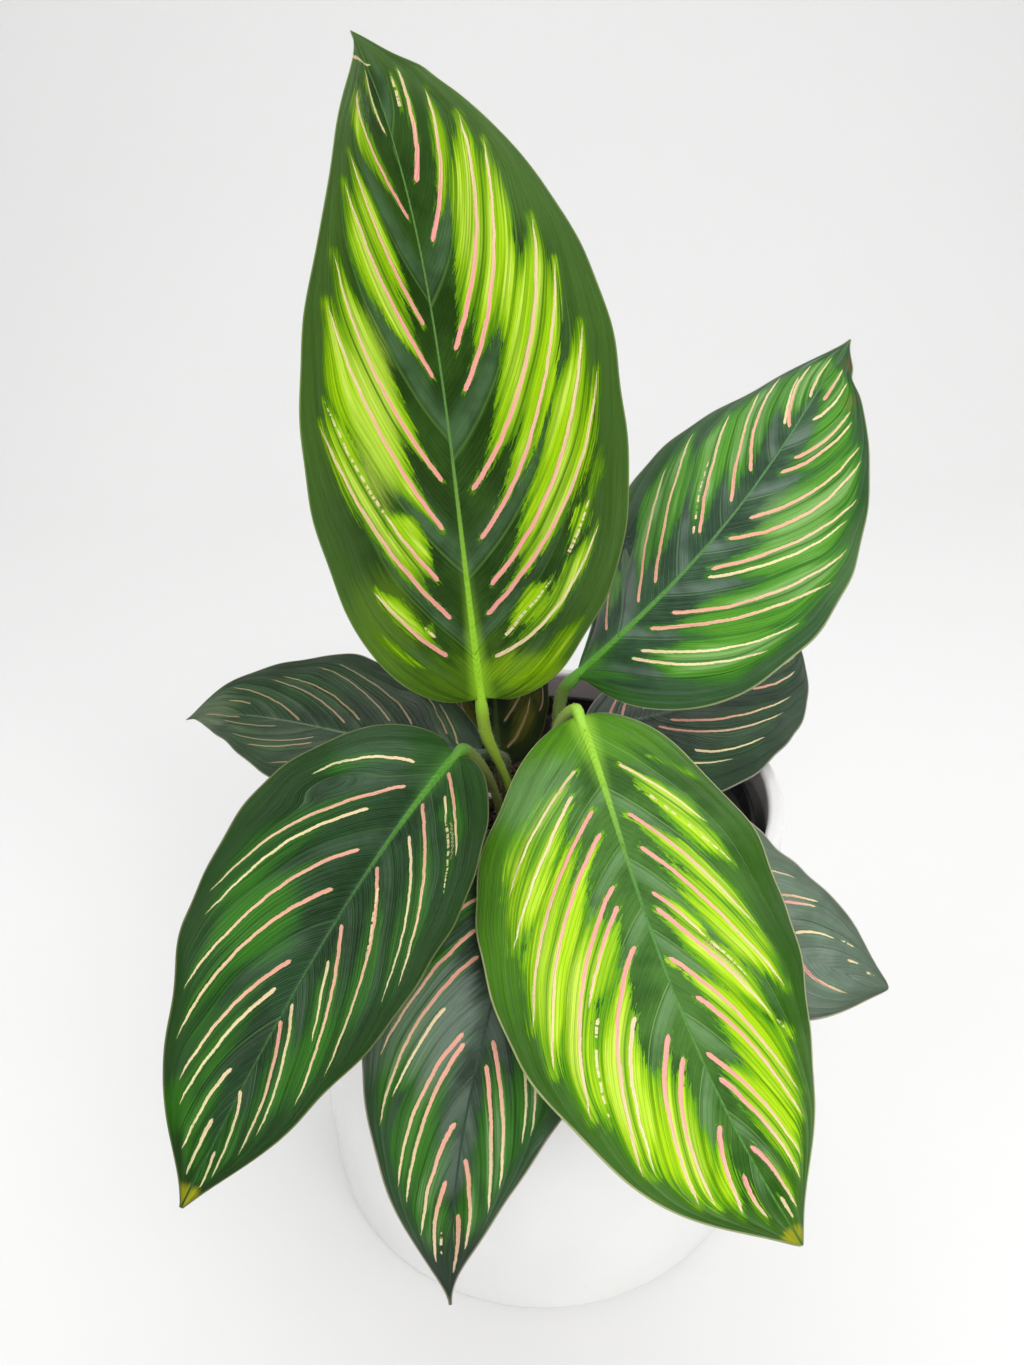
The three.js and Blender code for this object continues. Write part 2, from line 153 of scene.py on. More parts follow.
# Small swells and hollows of the outline: half (0 left, 1 right), share of the length, how far
# out it goes in millimetres, and how far it spreads as a share of the length.
OUTLINE = {
    "back_leaf": [(1, 0.1, -1.8, 0.05), (0, 0.25, -0.9, 0.08), (0, 0.72, -1, 0.07), (1, 0.935, 1.2, 0.016)],
    "right_leaf": [(1, 0.915, -1.6, 0.018), (0, 0.8, -0.9, 0.06), (1, 0.3, -0.8, 0.06)],
    "front_right_leaf": [(1, 0.15, -2.4, 0.08), (0, 0.17, -1.7, 0.09), (1, 0.78, -1.1, 0.06)],
    "front_left_leaf": [(0, 0.79, -2.3, 0.07), (1, 0.74, -1.4, 0.08), (1, 0.4, -0.5, 0.06)],
    "lower_right_leaf": [(1, 0.5, -1.9, 0.14)],
    "left_leaf": [(0, 0.75, -1, 0.12), (1, 0.8, -1.1, 0.1)],
}
for leaf_name, swells in OUTLINE.items():
    LEAVES[leaf_name]["swells"] = swells

# Where the main lateral veins leave the midrib, as shares of the length: left half, right half.
# A pair of stripes lies between two of them.
MAIN_VEINS = {
    "back_leaf": ((0.07, 0.205, 0.41, 0.61, 0.8), (0.075, 0.195, 0.38, 0.6, 0.84)),
    "right_leaf": ((0.13, 0.31, 0.45, 0.63, 0.77), (0.13, 0.26, 0.38, 0.53, 0.67, 0.86)),
    "front_right_leaf": ((0.04, 0.19, 0.35, 0.49, 0.64, 0.8), (0.04, 0.18, 0.32, 0.45, 0.59, 0.73, 0.87)),
    "front_left_leaf": ((0.1, 0.26, 0.4, 0.57, 0.75), (0.055, 0.22, 0.46, 0.67, 0.9)),
    "front_leaf": ((0.04, 0.24, 0.34, 0.46, 0.64, 0.87), (0.04, 0.22, 0.31, 0.44, 0.6, 0.85)),
}

# Each stripe is (across, along) three times, at its start by the midrib, its middle and its end:
# across in millimetres from the midrib, right of it positive, and along as a share of the length.
# Two more values, where they are given, say how many millimetres the bright green round it
# reaches towards the tip and towards the base. A glow is bright green with no stripe in it.
# A kind's three values are how pale it starts, how much it is broken into dashes, and its breadth.
STRIPE_KINDS = {"pink": (0.0, 0.0, 1.0), "cream": (0.75, 0.0, 0.84), "dashed": (0.8, 1.0, 0.72)}
STRIPES = {
    "back_leaf": {
        "pink": [
            (4.5, 0.139, 28.8, 0.304, 40.7, 0.486, 4.2, 1.6),
            (6.5, 0.186, 27, 0.347, 37.8, 0.55, 4.6, 4),
            (5, 0.259, 22.3, 0.413, 33.5, 0.64, 4, 2.2),
            (4.3, 0.333, 21.5, 0.495, 30.1, 0.702, 5.6, 4),
            (5.3, 0.478, 16.3, 0.618, 23.2, 0.82, 3.6, 4),
            (4.3, 0.539, 15, 0.693, 19.1, 0.86, 5, 3.6),
            (3.3, 0.694, 10, 0.79, 12.8, 0.903, 1, 2.6),
            (2.8, 0.778, 6.3, 0.85, 7.5, 0.938, 0.3, 0.5),
            (-9.2, 0.086, -18.7, 0.136, -28.9, 0.211, 3.6, 1.4),
            (-6.4, 0.142, -25, 0.286, -38.5, 0.452, 4, 1.8),
            (-8.9, 0.205, -16, 0.258, -23, 0.32, 5.2, 4.6),
            (-5.4, 0.28, -21.7, 0.436, -33.2, 0.607, 4, 7),
            (-3.9, 0.352, -20.5, 0.508, -30.2, 0.67, 3.8, 4),
            (-2.7, 0.503, -15.7, 0.64, -24.4, 0.761, 3.6, 4.4),
            (-3.2, 0.578, -13.5, 0.69, -20.7, 0.803, 3.2, 3.6),
            (-1.7, 0.728, -12.4, 0.835, -10.2, 0.899, 1.6, 3.6),
        ],
        "cream": [
            (5.3, 0.071, 23, 0.14, 37.3, 0.27, 3.4, 0.9),
            (-2.5, 0.848, -4.9, 0.895, -1.7, 0.94, 0.4, 1.6),
            (-8.7, 0.944, -4, 0.95, 1.3, 0.949, 0, 0.3),
        ],
        "dashed": [
            (8.8, 0.103, 16.8, 0.149, 23.5, 0.19, 3.2, 2.4),
            (28, 0.225, 31, 0.255, 35.5, 0.31, 1.8, 1.4),
            (4.6, 0.88, 5, 0.9, 5.3, 0.93, 0.6, 0.6),
            (-11.9, 0.12, -13.5, 0.128, -15.5, 0.14, 2, 2),
            (-23, 0.32, -30.5, 0.4, -36.4, 0.483, 2.4, 3),
        ],
        "glow": [
            (10, 0.035, 19, 0.055, 31, 0.13, 2.2, 2.2),
            (33, 0.28, 37, 0.33, 39.5, 0.38, 1, 1),
            (-14, 0.07, -22, 0.1, -31, 0.155, 1, 1),
            (17, 0.5, 20.5, 0.6, 24, 0.7, 2.6, 2.6),
            (18, 0.34, 25, 0.43, 31, 0.53, 1.8, 1.8),
            (-22, 0.3, -29, 0.38, -34, 0.48, 1.4, 1.4),
        ],
    },
    "right_leaf": {
        "pink": [
            (4.8, 0.195, 21, 0.352, 30.4, 0.5),
            (5.9, 0.249, 21.5, 0.408, 28.9, 0.576),
            (5.3, 0.368, 18, 0.525, 23.9, 0.676),
            (3.2, 0.44, 15.3, 0.578, 19.7, 0.755),
            (4.2, 0.501, 13.6, 0.63, 17.3, 0.78),
            (3.7, 0.624, 9.8, 0.712, 12.3, 0.82),
            (4.2, 0.669, 8.6, 0.735, 10.4, 0.84),
            (2.8, 0.825, 3, 0.87, 2.6, 0.92),
            (-5.4, 0.115, -15, 0.153, -27, 0.24),
            (-3.8, 0.214, -18.6, 0.353, -27.8, 0.538),
            (-4.3, 0.27, -18.9, 0.445, -26.1, 0.65),
            (-4.3, 0.416, -13.4, 0.555, -19.4, 0.722),
            (-2.8, 0.512, -11.2, 0.662, -15.3, 0.81),
            (-3.2, 0.596, -10.6, 0.718, -12.4, 0.864),
            (-1.4, 0.73, -5.4, 0.81, -5.9, 0.905),
        ],
        "cream": [
            (7.9, 0.127, 21, 0.22, 29.8, 0.325),
            (7.9, 0.151, 22.5, 0.275, 31.4, 0.4),
            (6.2, 0.351, 18.5, 0.485, 24.8, 0.626),
            (2.9, 0.77, 5.6, 0.83, 5.4, 0.897),
            (-2.8, 0.733, -5.8, 0.799, -7.2, 0.867),
            (-0.8, 0.819, -2.1, 0.869, -1.7, 0.939),
        ],
        "dashed": [
            (-5.6, 0.409, -12, 0.494, -16.3, 0.593),
        ],
    },
    "front_right_leaf": {
        "pink": [
            (4.3, 0.236, 20.6, 0.407, 30.8, 0.594, 4, 2.6),
            (4.3, 0.289, 19.5, 0.465, 29.3, 0.664, 5, 4),
            (4.8, 0.4, 18.4, 0.56, 25.6, 0.743, 3, 3.8),
            (5.4, 0.439, 13, 0.522, 18.5, 0.595, 4, 3),
            (4.4, 0.517, 14.8, 0.652, 20.3, 0.834, 3.4, 3),
            (4.4, 0.67, 11, 0.773, 13.4, 0.895, 3, 3.4),
            (3.6, 0.708, 9.1, 0.8, 10.6, 0.905, 3.4, 3),
            (2.5, 0.816, 5.4, 0.865, 6.8, 0.93, 1, 2.8),
            (3, 0.886, 3.7, 0.917, 3.2, 0.949, 0.4, 0.6),
            (-3.5, 0.258, -16, 0.383, -25, 0.517, 4, 2.2),
            (-3.9, 0.334, -16.8, 0.478, -25.9, 0.639, 4, 4),
            (-3.2, 0.426, -8, 0.478, -12, 0.53, 2, 2.2),
            (-2.8, 0.459, -13, 0.578, -19.8, 0.685, 3.4, 3),
            (-1.7, 0.55, -12.4, 0.675, -17.9, 0.816, 4, 4.2),
            (-4.2, 0.625, -12, 0.727, -15.6, 0.855, 3.6, 4),
            (-1.5, 0.713, -8.2, 0.81, -10.4, 0.905, 3.4, 4),
            (-1.7, 0.754, -6.7, 0.845, -7.7, 0.931, 1.4, 3.4),
            (-1, 0.859, -3.1, 0.9, -3.3, 0.958, 0.4, 1.2),
        ],
        "cream": [
            (5.7, 0.135, 19.6, 0.245, 29.3, 0.362, 4, 3.4),
            (8.3, 0.192, 22, 0.34, 31, 0.465, 4, 4),
            (9.6, 0.627, 15.2, 0.716, 18.1, 0.838, 3.4, 3.4),
            (-5.4, 0.144, -15.2, 0.222, -22.4, 0.299, 4, 2),
            (-1.2, 0.934, -1.4, 0.95, -1.5, 0.967, 0.3, 0.3),
        ],
        "dashed": [
            (17, 0.61, 20.6, 0.68, 22.2, 0.76, 2.6, 3),
            (-8.5, 0.2, -17, 0.295, -25.9, 0.39, 2.4, 3),
            (-12, 0.53, -15, 0.57, -17.6, 0.61, 1.6, 1.6),
            (-20.5, 0.69, -21.8, 0.71, -22.8, 0.73, 1.4, 1.4),
        ],
        "glow": [
            (12, 0.56, 18, 0.66, 21, 0.76, 2, 2),
            (-14, 0.13, -19, 0.15, -26, 0.19, 0.8, 0.8),
        ],
    },
    "front_left_leaf": {
        "pink": [
            (5.1, 0.134, 21, 0.34, 28.7, 0.549),
            (4.8, 0.312, 17, 0.5, 20.9, 0.72),
            (4.6, 0.413, 14.8, 0.585, 17.2, 0.79),
            (4.2, 0.576, 10.6, 0.71, 12.3, 0.844),
            (-2, 0.052, -14, 0.163, -23.4, 0.288),
            (-1.5, 0.148, -17.8, 0.35, -26.3, 0.592),
            (-1.5, 0.326, -14, 0.526, -18.5, 0.764),
            (-2, 0.47, -11.2, 0.645, -14.9, 0.818),
            (-0.3, 0.679, -5.9, 0.79, -7.4, 0.91),
        ],
        "cream": [
            (7.3, 0.08, 19.5, 0.155, 25.9, 0.247),
            (9, 0.227, 20.7, 0.4, 26.1, 0.592),
            (3.9, 0.633, 8.8, 0.76, 9.8, 0.875),
            (3.8, 0.787, 5.3, 0.844, 5.1, 0.929),
            (2.6, 0.868, 2.4, 0.922, 1.8, 0.958),
            (-7.1, 0.121, -11, 0.162, -14, 0.2),
            (-5.1, 0.24, -18, 0.42, -24, 0.627),
            (-4.3, 0.552, -8.2, 0.635, -11.4, 0.71),
            (-0.9, 0.644, -7.3, 0.765, -9.4, 0.877),
            (0.2, 0.81, -2.7, 0.87, -3.7, 0.95),
            (-1.4, 0.909, -1.9, 0.94, -2.1, 0.968),
        ],
        "dashed": [
            (10.3, 0.38, 15, 0.455, 18.8, 0.55),
            (-14, 0.2, -20.5, 0.28, -25.4, 0.379),
            (-5.4, 0.368, -9.5, 0.44, -14.2, 0.54),
        ],
    },
    "front_leaf": {
        "pink": [
            (2.2, 0.785, 3.7, 0.852, 3, 0.921),
            (2, 0.687, 5.4, 0.778, 6.5, 0.877),
            (3.7, 0.551, 8.6, 0.68, 10.3, 0.827),
            (4.5, 0.535, 10.7, 0.66, 12.4, 0.803),
            (5.9, 0.384, 15.5, 0.54, 18.4, 0.715),
            (8.4, 0.33, 17, 0.475, 21.8, 0.61),
            (4, 0.2, 16, 0.33, 25, 0.49),
            (-2.2, 0.535, -8, 0.66, -9.6, 0.79),
            (-2.1, 0.58, -6.5, 0.71, -7.5, 0.833),
            (-1.3, 0.744, -3.5, 0.82, -2.9, 0.9),
            (-1.2, 0.838, -1.3, 0.889, -0.8, 0.944),
            (-4, 0.2, -17, 0.33, -25, 0.48),
            (-3.5, 0.34, -16, 0.48, -22.5, 0.62),
        ],
        "cream": [
            (10, 0.498, 14, 0.58, 16.8, 0.669),
            (5, 0.14, 17, 0.24, 26, 0.37),
            (-5.5, 0.46, -11.3, 0.581, -13.4, 0.704),
            (-3, 0.41, -12.5, 0.55, -14.8, 0.687),
            (-5, 0.14, -17, 0.25, -26, 0.38),
        ],
        "dashed": [
            (2.2, 0.87, 2.3, 0.89, 2, 0.91),
        ],
    },
    "trailing_leaf": {
        "pink": [
            (2.1, 0.79, 5.4, 0.845, 5.3, 0.92),
            (-10.2, 0.675, -12.9, 0.73, -13.8, 0.76),
            (-4.5, 0.55, -12, 0.658, -15.5, 0.759),
            (-5, 0.42, -15, 0.56, -18.8, 0.66),
            (3, 0.58, 9.5, 0.7, 12, 0.83),
            (3, 0.45, 13, 0.6, 17, 0.76),
            (3, 0.3, 15, 0.46, 20, 0.62),
            (3, 0.15, 15, 0.28, 22, 0.43),
            (-4, 0.2, -14, 0.33, -20, 0.48),
        ],
        "cream": [
            (-3.8, 0.747, -6.6, 0.787, -7.8, 0.843),
            (-3.5, 0.89, -3.7, 0.905, -3.6, 0.92),
            (3, 0.24, 15, 0.38, 21, 0.54),
        ],
        "dashed": [
            (-7.8, 0.843, -8, 0.87, -7.6, 0.9),
            (-2.2, 0.94, -2.1, 0.95, -2, 0.965),
            (2.4, 0.925, 2.5, 0.93, 2.6, 0.94),
        ],
    },
    "lower_right_leaf": {
        "pink": [
            (2.7, 0.259, 10, 0.45, 13.6, 0.692),
            (4, 0.21, 13, 0.4, 16.2, 0.618),
            (4.5, 0.593, 7.4, 0.69, 8.4, 0.8),
            (-2.8, 0.074, -11, 0.13, -20, 0.23),
            (-3, 0.12, -13, 0.2, -21, 0.33),
            (-3.5, 0.27, -13, 0.42, -18, 0.6),
            (-3, 0.45, -10, 0.58, -13, 0.74),
            (2, 0.72, 4, 0.79, 4.2, 0.88),
        ],
        "cream": [
            (15.2, 0.272, 18.9, 0.359, 20.3, 0.488),
            (16.5, 0.21, 20, 0.28, 22, 0.36),
            (-4, 0.2, -15, 0.34, -20.5, 0.5),
            (-3, 0.52, -8.5, 0.65, -10.5, 0.8),
        ],
    },
    "left_leaf": {
        "pink": [
            (7.2, 0.221, 17, 0.335, 23.5, 0.538),
            (7.2, 0.289, 16.5, 0.43, 21.5, 0.605),
            (5.4, 0.38, 13, 0.53, 16.4, 0.707),
            (3.1, 0.419, 10.5, 0.57, 14.1, 0.735),
            (0.7, 0.566, 7, 0.7, 10.2, 0.859),
            (4.1, 0.758, 4.9, 0.8, 5.1, 0.85),
            (6.1, 0.109, 13.2, 0.154, 19.1, 0.204),
            (2.5, 0.07, 10.7, 0.109, 17, 0.16),
            (-5.2, 0.481, -10.8, 0.61, -9.9, 0.746),
            (-7.6, 0.475, -12.3, 0.56, -14.3, 0.66),
            (-3.4, 0.622, -4.9, 0.72, -2.8, 0.83),
            (-1, 0.775, -0.3, 0.85, 0.8, 0.93),
            (-4, 0.12, -14, 0.2, -22, 0.32),
            (-4.5, 0.2, -15, 0.3, -22.5, 0.43),
            (-4, 0.3, -14, 0.42, -20, 0.55),
        ],
    },
    "inner_leaf": {
        "pink": [
            (3, 0.08, 8.5, 0.18, 12, 0.32),
            (2.5, 0.2, 9, 0.34, 12, 0.5),
            (2, 0.38, 7.5, 0.52, 10, 0.68),
            (2, 0.55, 6, 0.68, 7, 0.82),
            (-3, 0.1, -9, 0.22, -12.5, 0.38),
            (-2.5, 0.3, -8.5, 0.44, -11, 0.6),
            (-2, 0.5, -6.5, 0.64, -8, 0.78),
        ],
        "cream": [
            (14.5, 0.25, 16, 0.3, 16.2, 0.37),
        ],
    },
}

# How each leaf looks: green away from the stripes (two tones), towards the margin and at the base,
# with how far these go, and a grey tone just tipward of each main vein, partly bloom and partly
# painted sheen; green round the stripes (a fringe and two tones), how far that spreads from a stripe
# and how fully it covers; the midrib from base to tip; the main veins; the stripes' colour and half
# width in millimetres; the margin's pale line; how deep the surface is quilted; and how rough it is.
# What most leaves share comes first.
PINK = (250, 168, 158)
SALMON = (240, 174, 150)
TAN = (164, 138, 108)
SAND = (184, 166, 126)
CREAM = (244, 232, 178)
COMMON_LOOK = {
    "heel_reach": 0.1, "rim_reach": 8, "rim_share": 0.6, "spread": 3, "cover": 0.5, "soft": 0.8,
    "stripe_end": CREAM, "shoulder": 0.3, "quilt": 0.5, "rough": 0.3, "shine": 0.5,
    "slot": "dark_blade", "rows": 140, "columns": 86,
}
LOOKS = {
    "back_leaf": {
        "dark": ((30, 60, 6), (46, 82, 20)), "heel": (88, 128, 14), "heel_reach": 0.09,
        "rim": (84, 124, 48), "rim_reach": 15, "rim_share": 0.85, "bloom_and_sheen": (92, 128, 92), "sheen_share": 0.5,
        "edge_green": (80, 134, 0), "bright": ((162, 210, 0), (204, 234, 80)),
        "spread": 4.4, "cover": 1.0, "soft": 0.06, "vein": (92, 132, 62),
        "midrib": ((156, 212, 44), (94, 136, 64)),
        "stripe": PINK, "stripe_half": 0.56, "margin": (150, 176, 96),
        "shoulder": 0.6, "quilt": 0.8, "rough": 0.26, "shine": 0.4,
        "slot": "bright_blade", "rows": 230, "columns": 126,
    },
    "right_leaf": {
        "dark": ((30, 64, 38), (52, 88, 56)), "heel": (56, 116, 30), "heel_reach": 0.08,
        "rim": (58, 104, 46), "rim_reach": 12, "rim_share": 0.75,
        "bloom_and_sheen": (112, 132, 118), "sheen_share": 0.7,
        "edge_green": (44, 112, 18), "bright": ((84, 158, 24), (134, 186, 96)),
        "spread": 4.2, "cover": 0.88, "soft": 0.7, "vein": (110, 146, 106),
        "midrib": ((92, 160, 50), (84, 132, 72)),
        "stripe": SALMON, "stripe_half": 0.44, "margin": (176, 186, 130),
        "quilt": 0.7, "rough": 0.28, "rows": 190, "columns": 112,
    },
    "front_right_leaf": {
        "dark": ((42, 90, 8), (68, 118, 34)), "heel": (88, 150, 10), "heel_reach": 0.14,
        "rim": (72, 122, 26), "rim_reach": 10, "rim_share": 0.7, "bloom_and_sheen": (124, 162, 112), "sheen_share": 0.5,
        "edge_green": (92, 160, 0), "bright": ((178, 224, 2), (210, 240, 80)),
        "spread": 4.0, "cover": 1.0, "soft": 0.06, "vein": (130, 170, 100),
        "midrib": ((160, 216, 60), (84, 138, 60)),
        "stripe": PINK, "stripe_half": 0.48, "margin": (206, 214, 150),
        "shoulder": 0.6, "quilt": 0.8, "rough": 0.28, "shine": 0.4,
        "slot": "bright_blade", "rows": 200, "columns": 116,
    },
    "front_left_leaf": {
        "dark": ((22, 54, 22), (32, 70, 34)), "heel": (46, 90, 36), "heel_reach": 0.12,
        "rim": (44, 84, 26), "rim_reach": 12, "rim_share": 0.7, "bloom_and_sheen": (86, 110, 88), "sheen_share": 0.22,
        "edge_green": (28, 80, 14), "bright": ((50, 122, 6), (66, 136, 12)),
        "spread": 2.6, "cover": 0.66, "soft": 0.9, "vein": (70, 108, 62),
        "midrib": ((82, 148, 42), (54, 98, 42)),
        "stripe": SALMON, "stripe_half": 0.44, "margin": (130, 140, 84),
        "quilt": 0.8, "rough": 0.26, "rows": 200, "columns": 112,
    },
    "front_leaf": {
        "dark": ((38, 56, 40), (64, 84, 68)), "heel": (50, 70, 50), "rim": (50, 90, 42), "rim_reach": 10,
        "rim_share": 0.75, "bloom_and_sheen": (116, 136, 118), "sheen_share": 0.36, "vein": (92, 112, 88),
        "edge_green": (42, 98, 24), "bright": ((62, 128, 30), (118, 162, 98)), "cover": 0.8,
        "midrib": ((60, 84, 62), (52, 72, 56)),
        "stripe": SALMON, "stripe_half": 0.46, "margin": (186, 176, 150),
        "quilt": 0.6, "rough": 0.28, "rows": 190, "columns": 106,
    },
    "trailing_leaf": {
        "dark": ((92, 112, 94), (116, 134, 118)), "heel": (80, 100, 80), "rim": (104, 124, 100),
        "bloom_and_sheen": (132, 148, 134), "sheen_share": 0.5, "vein": (130, 146, 124),
        "edge_green": (84, 116, 84), "bright": ((100, 130, 100), (116, 144, 110)),
        "midrib": ((110, 132, 106), (104, 124, 104)),
        "stripe": PINK, "stripe_half": 0.46, "margin": (206, 200, 172),
    },
    "lower_right_leaf": {
        "dark": ((38, 62, 42), (52, 78, 56)), "heel": (50, 70, 50), "rim": (54, 80, 50),
        "bloom_and_sheen": (80, 102, 86), "sheen_share": 0.4, "vein": (80, 104, 82),
        "edge_green": (44, 82, 42), "bright": ((52, 94, 48), (70, 108, 62)),
        "midrib": ((70, 98, 74), (70, 98, 74)),
        "stripe": SALMON, "stripe_half": 0.42, "margin": (180, 180, 156),
    },
    "left_leaf": {
        "dark": ((24, 48, 24), (38, 66, 38)), "heel": (40, 62, 40), "rim": (48, 76, 42),
        "bloom_and_sheen": (96, 116, 84), "sheen_share": 0.35, "vein": (62, 90, 60),
        "edge_green": (38, 76, 32), "bright": ((46, 86, 36), (60, 100, 48)),
        "midrib": ((60, 88, 60), (84, 110, 76)),
        "stripe": TAN, "stripe_end": SAND, "stripe_half": 0.28, "margin": (140, 152, 108),
    },
    "inner_leaf": {
        "dark": ((28, 46, 24), (44, 58, 26)), "heel": (34, 50, 26), "rim": (56, 66, 28), "rim_reach": 6,
        "bloom_and_sheen": (66, 80, 50), "sheen_share": 0.3, "vein": (66, 80, 42),
        "edge_green": (74, 84, 24), "bright": ((100, 104, 32), (134, 128, 44)), "cover": 0.7, "soft": 0.6,
        "midrib": ((70, 90, 40), (60, 80, 40)),
        "stripe": TAN, "stripe_end": SAND, "stripe_half": 0.36, "margin": (110, 110, 60),
        "quilt": 0.3, "rough": 0.32, "rows": 96, "columns": 60,
    },
}
LOOKS = {leaf_name: {**COMMON_LOOK, **look} for leaf_name, look in LOOKS.items()}

# Soft patches of a leaf: where across in millimetres and along as a share, how far they reach
# the same two ways, what they are, and how strong. Their colours are the leaf's own, apart from
# a dry spot and a yellowing tip. Some are the leaf's own markings, and some are painted sheen,
# painted light or painted shade where light falls on the leaf or misses it.
PATCHES = {
    "back_leaf": [
        (14, 0.045, 14, 0.035, "fresh", 0.45),
        # Painted sheen and light on the left half: a pale patch up the middle and a fresher green one near
        # the base.
        (-22, 0.46, 7, 0.14, "pale", 0.6),
        (-27, 0.16, 12, 0.09, "fresh", 0.16),
        (30, 0.78, 8, 0.12, "rim", 0.5),
    ],
    "right_leaf": [
        (-15, 0.64, 6, 0.14, "fresh", 0.6),
        (16, 0.31, 7, 0.05, "fresh", 0.5),
        (14, 0.55, 9, 0.09, "pale", 0.45),
        (32, 0.6, 7, 0.15, "pale", 0.15),
        (-12, 0.11, 9, 0.05, "deep", 0.6),
        (4, 0.945, 2, 0.02, "dry", 0.7),
        (9, 0.86, 2, 0.03, "dry", 0.35),
    ],
    "front_right_leaf": [
        (26, 0.18, 15, 0.16, "heel", 0.75),
        # Partly bloom and partly painted sheen near the base; painted light on the margin at 35 mm, which
        # faces the light, and painted shade on the margin at -34 mm, which curls down away from it.
        (17, 0.16, 13, 0.1, "bloom_and_sheen", 0.45),
        (35, 0.38, 8, 0.2, "heel", 0.6),
        (-34, 0.62, 9, 0.3, "deep", 0.75),
        (0.6, 0.985, 3, 0.014, "yellow", 0.85),
    ],
    "front_left_leaf": [
        (16, 0.54, 10, 0.1, "fresh", 0.8),
        # Painted sheen near the base.
        (18, 0.12, 11, 0.09, "bloom_and_sheen", 0.35),
        (-12, 0.74, 5, 0.1, "fresh", 0.7),
        (11, 0.88, 5, 0.05, "fresh", 0.6),
        (0, 0.985, 4, 0.02, "yellow", 0.85),
    ],
    "front_leaf": [
        # Painted sheen across the middle of the blade.
        (10, 0.53, 8, 0.13, "bloom_and_sheen", 0.8),
        (24, 0.53, 8, 0.13, "bloom_and_sheen", 0.7),
        (2, 0.76, 4, 0.06, "bloom_and_sheen", 0.4),
        (9, 0.73, 3.5, 0.08, "fresh", 0.4),
        # Painted shade on the tip, which turns down away from the light.
        (0, 0.93, 9, 0.07, "deep", 0.9),
    ],
    "trailing_leaf": [
        # A greyer patch of bloom and painted sheen.
        (6, 0.6, 6, 0.08, "bloom_and_sheen", 0.5),
    ],
    "left_leaf": [
        # Painted sheen on the tip.
        (0, 0.93, 12, 0.13, "bloom_and_sheen", 0.9),
    ],
}
DRY = (120, 94, 48)
YELLOW = (190, 186, 24)


# Blade surface

def smoothstep(low, high, value):
    share = np.clip((value - low) / (high - low), 0, 1)
    return share * share * (3 - 2 * share)


def blend(values, along):
    first, middle, last = values
    return first * (1 - along) ** 2 + 2 * middle * along * (1 - along) + last * along**2


def direction(leaf, along):
    heading = np.radians(blend(leaf["heading"], along))
    pitch = np.radians(blend(leaf["pitch"], along))
    level = np.cos(pitch)
    return heading, np.stack([level * np.cos(heading), level * np.sin(heading), np.sin(pitch)], -1)


def blade_frame(leaf, along):
    """The midrib's direction, and the blade's right and upper sides."""
    heading, ahead = direction(leaf, along)
    roll = np.radians(leaf["roll"][0] + (leaf["roll"][1] - leaf["roll"][0]) * along)[..., None]
    right = np.stack([np.sin(heading), -np.cos(heading), np.zeros_like(heading)], -1)
    up = np.cross(right, ahead)
    return ahead, right * np.cos(roll) + up * np.sin(roll), up * np.cos(roll) - right * np.sin(roll)


def midrib_points(leaf, along):
    steps = 64
    places = (np.arange(steps) + 0.5) / steps
    ahead = direction(leaf, places)[1] * leaf["length"] / steps
    points = np.vstack([leaf["base"], np.array(leaf["base"]) + np.cumsum(ahead, 0)])
    shares = np.linspace(0, 1, steps + 1)
    return np.stack([np.interp(along, shares, points[:, k]) for k in range(3)], -1)


def half_width(leaf, side, along):
    widest, full = leaf["widest"][side], leaf["full"][side]
    share = np.clip(along, 1e-6, 1 - 1e-6)
    taper = full * (1 - widest) / widest
    outline = (share / widest) ** full * ((1 - share) / (1 - widest)) ** taper
    pinch = 1 - DRIP_TIP_PINCH * np.exp(-(((1 - share) / DRIP_TIP_LENGTH) ** 1.5))
    least = NECK_HALF_WIDTH + (TIP_HALF_WIDTH - NECK_HALF_WIDTH) * along
    width = leaf["half"][side] * outline * pinch
    for half, place, out, spread in leaf.get("swells", ()):
        if half == side:
            width = width + out * np.exp(-(((share - place) / spread) ** 2))
    ripple = 0.2 * (1 + np.sin(47 * share + 3 * side + leaf["length"])) * np.sin(math.pi * share)
    return np.hypot(np.maximum(width - ripple, 0), least)


def blade_width(leaf, across, along):
    return np.where(across < 0, half_width(leaf, 0, along), half_width(leaf, 1, along))


def blade_points(leaf, across, along):
    """Points of the blade's middle layer, and its upper side there."""
    ahead, right, up = blade_frame(leaf, along)
    reach = np.abs(across)
    width = blade_width(leaf, across, along)
    fold = math.radians(leaf["fold"])
    height, count, start_left, start_right = leaf["wave"]
    start = np.where(across < 0, start_left, start_right)
    wave = height * np.sin(2 * math.pi * (count * along + start)) * reach**2 * np.sin(math.pi * along)
    lift = width * (math.sin(fold) * reach - leaf["curl"] * reach**2) + wave
    lobe = np.where(across < 0, leaf["lobe"][0], leaf["lobe"][1])
    back = lobe * reach * (1 - along) ** 6 * (width - NECK_HALF_WIDTH) / (width + 2)
    sideways = (across * width * math.cos(fold))[..., None]
    points = midrib_points(leaf, along) + right * sideways + up * lift[..., None]
    return points - ahead * back[..., None], up


# Markings

def stripe_curve(stripe, length, steps=28):
    """A stripe's centre line as points in flattened millimetres, through its three places."""
    start, middle, end = (np.array([stripe[k], stripe[k + 1] * length]) for k in (0, 2, 4))
    pull = 2 * middle - (start + end) / 2
    t = np.linspace(0, 1, steps + 1)[:, None]
    return start * (1 - t) ** 2 + 2 * pull * t * (1 - t) + end * t**2


